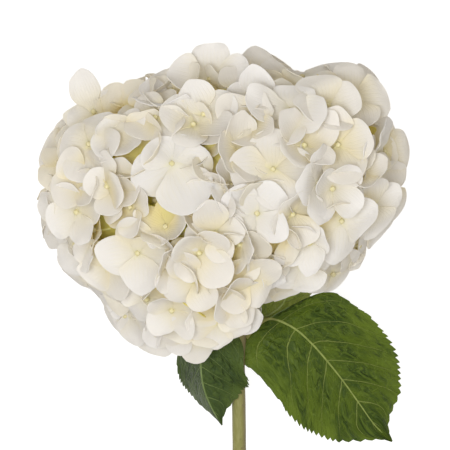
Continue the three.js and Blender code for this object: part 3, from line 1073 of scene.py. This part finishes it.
    # A sepal: half its breadth as a share of its length, the depth of its middle groove and its thickness
    sepal_width: float = 0.54
    groove: float = 0.3
    wall: float = 0.36
    # How much of what stands out too far is taken back, and the levels between which the tint of depth fades,
    # a tint that is partly the florets' own colour and partly a painted glow
    draw_in: float = 0.7
    deep_levels: tuple[float, float] = (0.78, 1.1)
    eye_radius: float = 1.45
    stalk_radius: float = 0.6
    stalk_root: float = 0.4
    stalk_foot: float = 30.0
    core_share: float = 0.52

    def middle(self) -> Vector:
        """Returns the middle of the head."""
        return Vector(self.form.centre)

    def stem_way(self) -> Vector:
        """Returns the direction from the middle of the head to the stem."""
        return (Vector(self.neck) - self.middle()).normalized()

    def florets(self) -> list[Floret]:
        """Returns the outer florets, where the solids have them."""
        stream = Drawer(self.seed)
        draw = stream.draw

        def shape() -> dict[str, float | list[float]]:
            """Returns the next draws for a floret's cup and waves."""
            return {"cup": draw(), "waves": [draw() for _ in range(4)]}

        made = []
        for x, y, east, north, spin, length in self.front:
            facing = Vector((east, north, math.sqrt(1 - east**2 - north**2)))
            centre = self.form.over(x, y) + self.middle() + facing * self.lifts[2]
            made.append(Floret(centre, facing, math.radians(spin), length, **shape()))
        for number, fan in ((0, self.largest), (len(self.front) - 1, self.lone)):
            made[number].sepals = len(fan)
            made[number].fan = fan
        made[len(self.front) - 1].limit = self.lone_limit
        for x, y, spin, length in self.resting:
            shape()
            centre = Vector((x, y, self.rest_level))
            down = Vector((0.0, 0.0, -1.0))
            made.append(Floret(centre, down, math.radians(spin), length, cup=0.6, waves=[0.7] * 4))
        for i in range(self.spiral):
            out = self._spiral_way(i, self.spiral)
            offset = out / self.form.level(out)
            lift = self.lifts[i % 3] + draw() - 0.5
            lean = Vector([2 * (draw() - 0.5) * math.tan(math.radians(self.lean_deg)) for _ in range(3)])
            spin = draw() * math.pi
            length = lerp(*self.lengths, draw())
            drawn = shape()
            centre = offset + self.middle()
            if self._crowded(centre, made) or self._near_stem(out):
                continue
            calm = smoothstep(centre.z, 0, self.calm_height)
            facing = self.form.normal(offset)
            centre = centre + facing * (lift * calm)
            facing = (facing + lean * calm).normalized()
            made.append(Floret(centre, facing, spin, length, **drawn))
        return made

    def _spiral_way(self, number: int, count: int) -> Vector:
        """Returns the direction of one of the points that are spread evenly over a ball.

        Args:
            number: Which of them, from the crown down.
            count: How many there are.

        Returns:
            The direction.
        """
        crown = 1 - (2 * number + 1) / count
        around = math.sqrt(1 - crown**2)
        return Vector(
            (around * math.cos(number * GOLDEN_ANGLE), crown, around * math.sin(number * GOLDEN_ANGLE))
        )

    def florets_between(self) -> list[Floret]:
        """Returns the florets that stand between the outer ones on the side seen first."""
        rng = random.Random(self.seed)
        made = []
        for x, y, east, north, spin, length, cup, lift in self.between:
            facing = Vector((east, north, math.sqrt(max(0.0, 1 - east**2 - north**2))))
            centre = self.form.over(x, y) + self.middle() + facing * lift
            waves = [rng.random() for _ in range(4)]
            made.append(Floret(centre, facing, math.radians(spin), length, cup, waves))
        return made

    def buds(self) -> list[Floret]:
        """Returns the buds in the hollows, as florets with no sepals."""
        rng = random.Random(self.buds_each)
        made = []
        for x, y, radius in self.hollows:
            for _ in range(self.buds_each):
                way = rng.uniform(0, 2 * math.pi)
                reach = radius * math.sqrt(rng.random())
                offset = self.form.over(x + reach * math.cos(way), y + reach * math.sin(way))
                centre = self.middle() + offset * rng.uniform(*self.bud_levels)
                made.append(Floret(centre, self.form.normal(offset), 0.0, 0.0, 0.0, [0.0] * 4, sepals=0))
        return made

    def _over_hollow(self, centre: Vector) -> bool:
        """Says whether a place lies in a hollow of the upper side."""
        if centre.z < self.form.centre[2]:
            return False
        return any(math.hypot(centre.x - x, centre.y - y) < radius for x, y, radius in self.hollows)

    def _crowded(self, centre: Vector, made: Sequence[Floret]) -> bool:
        """Says whether a floret would stand too near another, or over the leaf stalks."""
        x, y, radius = self.leaf_gap
        if math.hypot(centre.x - x, centre.y - y) < radius:
            return True
        return any((other.centre - centre).length < self.spacing for other in made)

    def _near_stem(self, out: Vector) -> bool:
        """Says whether a direction from the middle of the head runs into the stem."""
        return out.angle(self.stem_way()) < math.radians(self.stem_clearance_deg)

    def layer_florets(self, layer: Layer) -> list[Floret]:
        """Returns the florets of a layer below the outer one, which fill the gaps in it.

        Args:
            layer: The layer.

        Returns:
            Its florets, without those that the stem, the leaves or a hollow keep clear.
        """
        setting = layer.value
        rng = random.Random(self.seed + setting.count)
        made = []
        for i in range(setting.count):
            out = self._spiral_way(i, setting.count)
            offset = out * (rng.uniform(*setting.levels) / self.form.level(out))
            centre = offset + self.middle()
            lean = Vector([rng.uniform(-setting.lean, setting.lean) for _ in range(3)])
            facing = (self.form.normal(offset) + lean).normalized()
            spin = rng.uniform(0, math.pi)
            length = rng.uniform(*setting.lengths)
            waves = [rng.random() for _ in range(4)]
            cup = rng.uniform(*setting.cups)
            x, y, radius = self.leaf_gap
            over_leaves = math.hypot(centre.x - x, centre.y - y) < radius
            if self._near_stem(out) or (over_leaves and layer is Layer.MIDDLE):
                continue
            if layer is Layer.MIDDLE and self._over_hollow(centre):
                continue
            floret = Floret(centre, facing, spin, length, cup, waves)
            floret.fineness = self.layer_fineness
            floret.deep = setting.deep
            floret.limit = self.layer_limit
            made.append(floret)
        return made

    def settled(self, height: float) -> float:
        """Returns the height of a point once the surface bears it.

        Args:
            height: Its height on a head that hangs free.

        Returns:
            Its height, eased so that nothing is below the surface.
        """
        low = height - self.rest_level
        if low >= self.settle:
            return height
        if low <= -self.settle:
            return self.rest_level
        return self.rest_level + (low + self.settle) ** 2 / (4 * self.settle)

    def sepals(
        self, name: str, florets: Sequence[Floret], finish: bpy.types.Material
    ) -> bpy.types.Object:
        """Makes the sepals of some florets as one piece.

        Args:
            name: The piece's name.
            florets: The florets.
            finish: The sepals' material.

        Returns:
            The piece.
        """
        work = Workpiece(name, ["sepal"], ["depth", "tint"])
        rng = random.Random(len(florets))
        for floret in florets:
            turn = floret.turn()
            tint = rng.random()
            for number in range(floret.sepals):
                place = self._sepal(floret, number, turn, tint, rng)
                work.sheet(floret.fineness, floret.fineness, place)
        return work.piece([finish], Slot.SEPALS, "flower_head", self.wall)

    def _sepal(
        self, floret: Floret, number: int, turn: Quaternion, tint: float, rng: random.Random
    ) -> Callable[[float, float], Spot]:
        """Returns the function that places one sepal's points.

        Args:
            floret: The floret.
            number: Which of its sepals.
            turn: The floret's turn.
            tint: A number from 0 to 1 that is the floret's own.
            rng: The stream for the sepal's own bends.

        Returns:
            A function of two numbers from -1 to 1, across the sepal and along it.
        """
        wave = floret.waves[number % 4]
        heading = floret.spin + 2 * math.pi * number / floret.sepals
        upper = float(number % 2)
        length = floret.length
        if floret.fan:
            degrees, size, upper, width = floret.fan[number]
            heading = math.radians(degrees)
            length *= size
        else:
            width = self.sepal_width * rng.uniform(0.86, 1.08)
        shape = SepalShape.drawn(width, rng)
        middle = self.middle()

        def place(x: float, y: float) -> Spot:
            """Returns the spot of one point of the sepal."""
            across = x * math.sqrt(1 - y * y / 2)
            along = y * math.sqrt(1 - x * x / 2)
            forward, sideways = shape.cut(across, along)
            share = math.hypot(forward, sideways)
            angle = heading + math.atan2(sideways, forward)
            reach = length * share * (0.86 + 0.2 * wave)
            rise = reach * share * (0.5 * floret.cup - 0.12 + 0.3 * (wave - 0.5))
            rise += length * shape.rise(across, along, upper)
            rise -= self.groove * math.exp(-((sideways / 0.05) ** 2)) * smoothstep(forward, 0.1, 0.4)
            spot = Vector((math.cos(angle) * reach, math.sin(angle) * reach, rise))
            spot.rotate(turn)
            offset = spot + floret.centre - middle
            level = self.form.level(offset)
            spot = middle + self._held_in(offset, level, floret.limit)
            spot.z = self.settled(spot.z)
            # Depth tints the sepals cream and yellow green: partly their own colour, partly a painted glow of
            # the light among them.
            depth = max(floret.deep, 1 - smoothstep(level, *self.deep_levels))
            return Spot(spot, {"sepal": (x / 2 + 0.5, forward)}, {"depth": depth, "tint": tint})

        return place

    def _held_in(self, offset: Vector, level: float, limit: float | None) -> Vector:
        """Draws in a point of a sepal that would stand too far out of the head.

        Args:
            offset: The point's offset from the middle of the head.
            level: The form's level there.
            limit: How far past the form it may stand, or None for the form's own limit.

        Returns:
            The new offset.
        """
        allowed = self.form.spare(offset) if limit is None else limit
        past = offset.length * (1 - 1 / level) - allowed
        return offset * (1 - self.draw_in * past / offset.length) if past > 0 else offset

    def eyes(
        self, name: str, florets: Sequence[Floret], finish: bpy.types.Material
    ) -> bpy.types.Object:
        """Makes the small closed flowers in the middles of some florets as one piece.

        Args:
            name: The piece's name.
            florets: The florets.
            finish: The eyes' material.

        Returns:
            The piece.
        """
        work = Workpiece(name)
        for floret in florets:
            turn = floret.turn()
            work.ball(2, lambda co, floret=floret, turn=turn: self._eye_spot(co, floret, turn))
        work.shells()
        return work.piece([finish], Slot.SEPALS, "flower_head")

    def _eye_spot(self, co: Vector, floret: Floret, turn: Quaternion) -> Spot:
        """Returns the spot of one point of a floret's four-lobed eye.

        Args:
            co: The point on a ball of radius 1.
            floret: The floret.
            turn: The floret's turn.

        Returns:
            The spot.
        """
        lobes = 1 + 0.1 * math.cos(4 * math.atan2(co.y, co.x)) * (1 - abs(co.z))
        point = Vector((co.x * lobes, co.y * lobes, co.z * 0.85)) * self.eye_radius
        point.z += self.eye_radius * 0.55 + 0.3
        point.rotate(turn)
        point += floret.centre
        point.z = max(point.z, 0.05)
        return Spot(point)

    def stalks(self, florets: Sequence[Floret], finish: bpy.types.Material) -> bpy.types.Object:
        """Makes the stalks of the florets as one piece.

        Args:
            florets: The florets.
            finish: The stalks' material.

        Returns:
            The piece.
        """
        work = Workpiece("floret_stalks")
        middle = self.middle()
        foot = middle + self.stem_way() * self.stalk_foot
        for floret in florets:
            root = middle + (floret.centre - middle) * self.stalk_root
            root = root.lerp(foot, 0.15)
            bend = root.lerp(floret.centre, 0.55) + floret.facing * -2.5
            end = floret.centre - floret.facing * 0.1
            line = SmoothLine([root, bend, end], 12)
            work.tube(line, lambda share, _: self.stalk_radius * lerp(1.5, 1.0, share), 6, 4)
        work.shells()
        return work.piece([finish], Slot.STEM, "flower_head")

    def core(self, finish: bpy.types.Material) -> bpy.types.Object:
        """Makes the green middle of the head, lumpy as its branches are and hollow towards the stem.

        Args:
            finish: Its material.

        Returns:
            The piece.
        """
        work = Workpiece("head_middle")
        stem_way = self.stem_way()
        middle = self.middle()

        def spot_of(co: Vector) -> Spot:
            """Returns the spot of one point of the ball."""
            out = co.normalized()
            hollow = 1 - 0.4 * smoothstep(out.dot(stem_way), 0.45, 1)
            lump = 1 + 0.16 * (noise.noise(out * 4.5) + 0.5 * noise.noise(out * 11))
            return Spot(out * (self.core_share * hollow * lump / self.form.level(out)) + middle)

        work.ball(5, spot_of)
        work.shells()
        return work.piece([finish], Slot.STEM, "flower_head")

    def build(self) -> list[bpy.types.Object]:
        """Makes the whole head and returns its pieces."""
        sepal = SepalFinish().material()
        eye = SoftFinish("eye_cream", (0.74, 0.67, 0.44), (0.66, 0.61, 0.32), 1.2, 0.75).material()
        bud = SoftFinish("bud_yellow_green", (0.88, 0.84, 0.20), (0.78, 0.78, 0.16), 2.5, 0.7).material()
        green = SoftFinish("stalk_green", (0.84, 0.80, 0.20), (0.88, 0.84, 0.34), 6.0, 0.7).material()
        outer = self.florets()
        between = self.florets_between()
        middle = self.layer_florets(Layer.MIDDLE)
        inner = self.layer_florets(Layer.INNER)
        every = [*outer, *between, *middle, *inner]
        buds = self.buds()
        log.info("the head has %d florets", len(every))
        return [
            self.sepals("florets_outer", outer, sepal),
            self.sepals("florets_between", between, sepal),
            self.sepals("florets_middle", middle, sepal),
            self.sepals("florets_inner", inner, sepal),
            self.eyes("floret_eyes", every, eye),
            self.eyes("head_buds", buds, bud),
            self.stalks([*every, *buds], green),
            self.core(green),
        ]


# The stem


@dataclass
class Stem:
    """The stem with its joints, and the rays that spread from its fork into the head."""

    line: tuple[Point, ...] = (
        (2.5, -200, 3.9),
        (1.2, -150, 15),
        (0.6, -100, 29),
        (0.2, -43, 44.5),
        (-0.5, 0, 54.5),
        (-1.5, 24, 58),
        (-5, 52, 62),
    )
    cut_radius: float = 3.7
    fork_radius: float = 3.4
    top_radius: float = 2.0
    # Joints: where each is along +Y, how much it swells and how long the swelling is
    joints: tuple[tuple[float, float, float], ...] = ((-118, 0.28, 7), (12, 0.32, 6))
    fork: Point = (-1.2, 20.0, 57.5)
    ray_count: int = 7
    ray_spread: float = 0.95
    ray_length: float = 36.0
    ray_radius: float = 1.5
    # Rings of the cut end, from the rim in: width as a share of the radius, and how far it is painted as pith
    rings: tuple[tuple[float, float], ...] = ((0.12, 0.15), (0.25, 0.7), (0.35, 1.0))
    dish: float = 0.03
    sides: int = 32
    steps: int = 150

    def radius_at(self, _: float, place: Vector) -> float:
        """Returns the stem's radius.

        Args:
            _: The share of the middle line, which isn't used.
            place: The place on the middle line.

        Returns:
            The radius in millimetres.
        """
        thin = smoothstep(place.y, self.fork[1], self.line[-1][1])
        plain = lerp(self.cut_radius, self.fork_radius, smoothstep(place.y, self.line[0][1], self.fork[1]))
        swell = sum(swell * math.exp(-(((place.y - y) / width) ** 2)) for y, swell, width in self.joints)
        ripple = 1 + 0.012 * math.sin(place.y * 0.35) * math.sin(place.y * 0.11)
        return lerp(plain, self.top_radius, thin) * (1 + swell) * ripple

    def rays(self) -> list[SmoothLine]:
        """Returns the middle lines of the rays."""
        fork = Vector(self.fork)
        axis = (Vector(self.line[-1]) - fork).normalized()
        sideways = Vector((1.0, 0.0, 0.0)).cross(axis).normalized()
        reach = self.ray_length
        ahead = reach * math.cos(self.ray_spread)
        aside = reach * math.sin(self.ray_spread)
        shares = (0, 0.25, 0.5, 0.75, 1)
        start = fork - axis * 2
        lines = []
        for k in range(self.ray_count):
            radial = sideways.copy()
            radial.rotate(Quaternion(axis, 2 * math.pi * k / self.ray_count))
            bend = fork + axis * (reach * 0.3) + radial * (reach * 0.45)
            end = fork + axis * ahead + radial * aside
            curve = [start * (1 - t) ** 2 + bend * (2 * t * (1 - t)) + end * t**2 for t in shares]
            lines.append(SmoothLine(curve, 40))
        return lines

    def build(self) -> list[bpy.types.Object]:
        """Makes the stem and returns its piece."""
        work = Workpiece("flower_stem", [], ["brown_shaded_side", "cut"])
        work.tube(SmoothLine(self.line), self.radius_at, self.sides, self.steps, self._paint)
        for ray in self.rays():
            work.tube(ray, lambda share, _: self.ray_radius * lerp(1.15, 0.8, share), 12, 12)
        self._pith(work)
        work.shells()
        return [work.piece([StemFinish().material()], Slot.STEM, "stem")]

    def _paint(self, _: float, angle: float) -> dict[str, float]:
        """Returns the paint at an angle round the stem: how far it is on the darker brownish side away from
        the key light, partly a blush and partly painted shade.
        """
        return {"brown_shaded_side": max(0.0, -math.cos(angle)), "cut": 0.0}

    def _pith(self, work: Workpiece) -> None:
        """Divides the cut end into rings, slightly dished, and paints them.

        Args:
            work: The stem's mesh.
        """
        end = in_frame(Vector(self.line[0]))
        caps = [face for face in work.mesh.faces if len(face.verts) == self.sides]
        cap = min(caps, key=lambda face: (face.calc_center_median() - end).length)
        for ring, share in self.rings:
            middle = cap.calc_center_median()
            bmesh.ops.inset_region(work.mesh, faces=[cap], thickness=self.cut_radius * MM * ring)
            for vert in cap.verts:
                vert[work.paints["cut"]] = share
                vert.co += (vert.co - middle).length * Vector((0.0, self.dish, 0.0))


# The leaves


@dataclass(frozen=True)
class LeafHalf:
    """One half of a leaf.

    Fields:
        reach: The way it reaches from the midrib.
        back: How far its lobe goes back past the petiole.
        fullness: How near the tip it is widest.
    """

    reach: Point
    back: float
    fullness: float


@dataclass
class Leaf:
    """A toothed leaf, quilted between its side veins, with its midrib and petiole."""

    name: str
    node: str
    petiole: tuple[Point, ...]
    midrib: tuple[Point, ...]
    left: LeafHalf
    right: LeafHalf
    half_width: float
    teeth: int
    curl: float
    quilt: float
    blade: Colour
    dark: Colour
    light: Colour
    vein: Colour
    under: Colour
    columns: int = 18
    rows_per_tooth: int = 4
    wall: float = 0.5
    laterals: int = 8
    petiole_radius: float = 1.6
    rib_base: float = 0.66
    rib_tip: float = 0.3
    drawn_out: float = 0.78
    tooth_out: float = 1.5
    tooth_forward: float = 1.6
    vein_lean: float = 0.26
    vein_crowding: float = 0.75
    margin_wave: float = 0.5
    least_width: float = 0.35
    least_height: float = 0.4
    rib_sink: float = 0.45

    def __post_init__(self) -> None:
        """Works out the midrib's line."""
        self.spine = SmoothLine(self.midrib)

    def _tooth(self, row: float, width: float) -> float:
        """Returns how far a tooth stands out at a row of the margin, from 0 to 1."""
        phase = row % self.rows_per_tooth / self.rows_per_tooth
        return (phase / 0.75) ** 0.8 * min(1.0, width / 8) if phase <= 0.75 else 0.0

    def _width(self, along: float, half: LeafHalf) -> float:
        """Returns how wide a half is at a share of the midrib, without its teeth."""
        width = self.half_width * max(0.0, math.sin(math.pi * along**half.fullness)) ** 0.6
        return max(self.least_width, width * (1 - self.drawn_out * smoothstep(along, 0.76, 1.0)))

    def _vein(self, along: float, side: float) -> float:
        """Returns a place among the side veins, each of which runs along a whole number."""
        lean = self.vein_lean * side * (0.15 + 0.85 * smoothstep(along, 0.0, 0.45))
        return self.laterals * math.copysign(abs(along - lean) ** self.vein_crowding, along - lean)

    def _rise(self, x: float, along: float, width: float, vein: float) -> float:
        """Returns how far the blade rises from the plane of its midrib.

        Args:
            x: From -1 at the left margin to 1 at the right one.
            along: The share of the midrib.
            width: How wide the half is there.
            vein: The place among the side veins.

        Returns:
            The rise in millimetres.
        """
        side = abs(x)
        broad = min(1.0, width / 10)
        ridge = math.sin(math.pi * vein) ** 2 * math.sin(math.pi * min(1.0, side * 1.02)) * broad
        rise = self.curl * width * side**2 + self.quilt * ridge
        rise -= 0.5 * math.exp(-((side * width / 2.2) ** 2)) * min(1.0, width / 6)
        return rise + self.margin_wave * math.sin(along * 23 + x * 2.0) * side**3 * broad

    def spot_at(self, x: float, y: float) -> Spot:
        """Returns the spot of one point of the blade.

        Args:
            x: From -1 at the left margin to 1 at the right one.
            y: From -1 at the base to 1 at the tip.

        Returns:
            The spot, with the place along the side veins and on the net of small veins.
        """
        along = (1 + y) / 2
        side = abs(x)
        half = self.left if x < 0 else self.right
        tangent = self.spine.heading(along)
        up = self._across(self.left, tangent).cross(tangent)
        if up.z < 0:
            up = -up
        width = self._width(along, half)
        tooth = self._tooth(round(along * self.rows()), width) * smoothstep(side, 0.9, 1.0)
        tooth *= lerp(0.3, 1.0, smoothstep(along, 0.15, 0.5))
        lobe = half.back * side * (1 - smoothstep(along, 0, 0.28))
        forward = width * (0.38 * side**2 - lobe) + self.tooth_forward * tooth
        vein = self._vein(along, side)
        point = self.spine.at(along) + self._across(half, tangent) * (side * width + self.tooth_out * tooth)
        point += tangent * (forward * min(1.0, 2 * (1 - along))) + up * self._rise(x, along, width, vein)
        point.z = max(point.z, self.least_height)
        net = (x * width / 10, vein / self.laterals * self.spine.length / 10)
        return Spot(point, {"vein": (x, vein), "net": net})

    def _across(self, half: LeafHalf, tangent: Vector) -> Vector:
        """Returns the direction in which a half reaches, square to the midrib."""
        reach = Vector(half.reach)
        return (reach - tangent * reach.dot(tangent)).normalized()

    def rows(self) -> int:
        """Returns how many rows of faces the blade has."""
        return self.teeth * self.rows_per_tooth

    def build(self) -> list[bpy.types.Object]:
        """Makes the blade and its rib, and returns both pieces."""
        work = Workpiece(self.name + "_blade", ["vein", "net"])
        work.sheet(2 * self.columns, self.rows(), self.spot_at)
        self._face_up(work)
        gap = self.spine.length / self.laterals
        upper = LeafFinish(self.name + "_upper", self.blade, self.dark, self.light, self.vein, gap)
        pale = tuple(0.8 * c + 0.03 for c in self.under)
        lower = LeafFinish(self.name + "_under", self.under, pale, self.under, self.vein, gap, 0.8, 0.5, 0.6)
        blade = work.piece([upper.material(), lower.material()], Slot.LEAF, self.node, self.wall)
        return [blade, self._rib()]

    def _face_up(self, work: Workpiece) -> None:
        """Turns the blade's faces so that its upper skin is the one that looks up."""
        up = sum((face.normal * face.calc_area() for face in self._measured(work)), Vector())
        if up.z < 0:
            bmesh.ops.reverse_faces(work.mesh, faces=work.mesh.faces)

    def _measured(self, work: Workpiece) -> Sequence[bmesh.types.BMFace]:
        """Returns the blade's faces with their normals worked out."""
        work.mesh.normal_update()
        return list(work.mesh.faces)

    def _rib(self) -> bpy.types.Object:
        """Makes the midrib and petiole as one tapering piece and returns it."""
        work = Workpiece(self.name + "_rib", [], ["petiole"])
        line = SmoothLine([*self.petiole, *self.midrib])
        start = 1 - self.spine.length / line.length

        def radius_at(share: float, _: Vector) -> float:
            """Returns the rib's radius, wider where it leaves the stem."""
            plain = lerp(self.rib_base, self.rib_tip, max(0.0, (share - start) / (1 - start)))
            wider = 1 - smoothstep(share, start * 0.4, start * 1.3)
            return plain + (self.petiole_radius - self.rib_base) * wider

        def paint_at(share: float, _: float) -> dict[str, float]:
            """Returns the paint: 1 on the petiole and 0 on the blade's midrib."""
            return {"petiole": 1 - smoothstep(share, start * 0.6, start * 1.5)}

        work.tube(line, radius_at, 12, 60, paint_at)
        for vert in work.mesh.verts:
            vert.co.z -= self.rib_sink * MM
        work.shells()
        finish = RibFinish(self.name + "_rib_green", self.vein, self._rib_shade())
        return work.piece([finish.material()], Slot.LEAF, self.node)

    def _rib_shade(self) -> Colour:
        """Returns the greener colour of the rib's patches."""
        return tuple(lerp(vein, blade, 0.35) for vein, blade in zip(self.vein, self.blade, strict=True))


def leaves() -> list[Leaf]:
    """Returns the plant's three leaves."""
    return [
        Leaf(
            name="right_leaf",
            node="leaf_right",
            petiole=((3.4, 12.5, 56.5), (8, 18, 56.5)),
            midrib=(
                (15, 22, 55),
                (27, 17.6, 53),
                (36, 10, 50.5),
                (44, 1, 47.5),
                (52, -9, 43),
                (61, -21.5, 37),
                (69, -32.5, 30.5),
                (77.5, -40.5, 25),
            ),
            left=LeafHalf((-0.78, -0.55, 0.12), 1.2, 0.58),
            right=LeafHalf((0.74, 0.64, -0.2), -0.45, 0.68),
            half_width=31.5,
            teeth=24,
            curl=-0.1,
            quilt=1.3,
            blade=(0.068, 0.106, 0.006),
            dark=(0.026, 0.052, 0.006),
            light=(0.125, 0.180, 0.018),
            vein=(0.27, 0.32, 0.085),
            under=(0.20, 0.27, 0.11),
        ),
        Leaf(
            name="left_leaf",
            node="leaf_left",
            petiole=((-3.8, 12.8, 57.5), (-9, 18, 62)),
            midrib=(
                (-14, 20, 64),
                (-18.5, 8, 66.5),
                (-19, -3, 66.5),
                (-17.5, -13, 64),
                (-13.5, -23, 59.5),
                (-8.5, -31.5, 54),
            ),
            left=LeafHalf((0.75, 0.2, -0.12), 0.5, 0.56),
            right=LeafHalf((-0.42, 0.1, -0.9), 0.5, 0.56),
            half_width=24,
            teeth=16,
            curl=-0.1,
            quilt=0.7,
            blade=(0.052, 0.084, 0.018),
            dark=(0.030, 0.054, 0.014),
            light=(0.080, 0.120, 0.022),
            vein=(0.16, 0.22, 0.07),
            under=(0.17, 0.24, 0.11),
        ),
        Leaf(
            name="back_leaf",
            node="leaf_back",
            petiole=((1.2, 14.5, 52.4), (5, 19, 47.5)),
            midrib=((12, 22, 43), (21, 28, 35.5), (26, 38, 25), (33, 49, 14.5), (42, 60, 7)),
            left=LeafHalf((0.85, -0.4, -0.15), 0.5, 0.7),
            right=LeafHalf((-0.75, 0.5, -0.1), 0.5, 0.7),
            half_width=11,
            teeth=13,
            curl=0.1,
            quilt=0.4,
            # The back leaf's greens are much paler than the other leaves': painted light, standing in for the
            # light that the head above keeps from it.
            blade=(0.36, 0.45, 0.08),
            dark=(0.29, 0.38, 0.06),
            light=(0.46, 0.54, 0.14),
            vein=(0.50, 0.60, 0.22),
            under=(0.20, 0.27, 0.11),
        ),
    ]


# The studio


@dataclass(frozen=True)
class Lamp:
    """A round soft light that looks at the head."""

    name: str
    place: Point
    size: float
    power: float
    colour: Colour = (1.0, 1.0, 1.0)


@dataclass
class Studio:
    """The floor, the soft lights and the camera over the flower, in metres."""

    look_at: Point = (0.002, 0.088, 0.068)
    distance: float = 3.6
    field: float = 0.225
    room: float = 0.545
    room_colour: Colour = (1.0, 0.948, 0.85)
    bounces: int = 12
    lamps: tuple[Lamp, ...] = (
        Lamp("key", (-0.3, 0.0, 1.7), 0.6, 14.7, (0.95, 0.97, 1.0)),
        Lamp("fill", (0.4, -0.4, 1.7), 1.0, 5.6, (0.95, 0.97, 1.0)),
    )

    def build(self) -> None:
        """Makes the studio."""
        scene = bpy.context.scene
        scene.view_settings.view_transform = "Standard"
        scene.cycles.max_bounces = self.bounces + 2
        scene.cycles.diffuse_bounces = self.bounces
        self._floor()
        self._sky()
        for lamp in self.lamps:
            self._light(lamp)
        self._camera()

    def _floor(self) -> None:
        """Lays the floor."""
        mesh = bmesh.new()
        bmesh.ops.create_grid(mesh, x_segments=1, y_segments=1, size=6.0)
        data = bpy.data.meshes.new("floor")
        mesh.to_mesh(data)
        mesh.free()
        data.materials.append(FloorFinish().material())
        floor = bpy.data.objects.new("floor", data)
        bpy.context.scene.collection.objects.link(floor)
        floor.visible_diffuse = False

    def _sky(self) -> None:
        """Fills the room with even, slightly warm light."""
        world = bpy.data.worlds.new("room")
        world.use_nodes = True
        light = world.node_tree.nodes["Background"]
        light.inputs["Color"].default_value = (*self.room_colour, 1.0)
        light.inputs["Strength"].default_value = self.room
        bpy.context.scene.world = world

    def _light(self, lamp: Lamp) -> None:
        """Hangs one soft light that looks at the head.

        Args:
            lamp: The light.
        """
        data = bpy.data.lights.new(lamp.name, "AREA")
        data.shape = "DISK"
        data.size = lamp.size
        data.energy = lamp.power
        data.color = lamp.colour
        light = bpy.data.objects.new(lamp.name, data)
        light.location = lamp.place
        way = Vector(self.look_at) - Vector(lamp.place)
        light.rotation_euler = way.to_track_quat("-Z", "Y").to_euler()
        light.visible_camera = False
        bpy.context.scene.collection.objects.link(light)

    def _camera(self) -> None:
        """Hangs the camera straight over the flower."""
        data = bpy.data.cameras.new("camera")
        data.sensor_width = 36.0
        data.lens = 36.0 * self.distance / self.field
        data.clip_end = 50.0
        camera = bpy.data.objects.new("camera", data)
        camera.location = Vector(self.look_at) + Vector((0.0, 0.0, self.distance))
        bpy.context.scene.collection.objects.link(camera)
        bpy.context.scene.camera = camera


def main() -> None:
    """Builds the plant, the studio and the camera, and logs how many pieces the plant has."""
    logging.basicConfig(level=logging.INFO, format="%(name)s: %(message)s")
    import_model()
    pieces = FlowerHead().build()
    pieces += Stem().build()
    for leaf in leaves():
        pieces += leaf.build()
    Studio().build()
    log.info("%d pieces", len(pieces))
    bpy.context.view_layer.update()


if __name__ == "__main__":
    main()
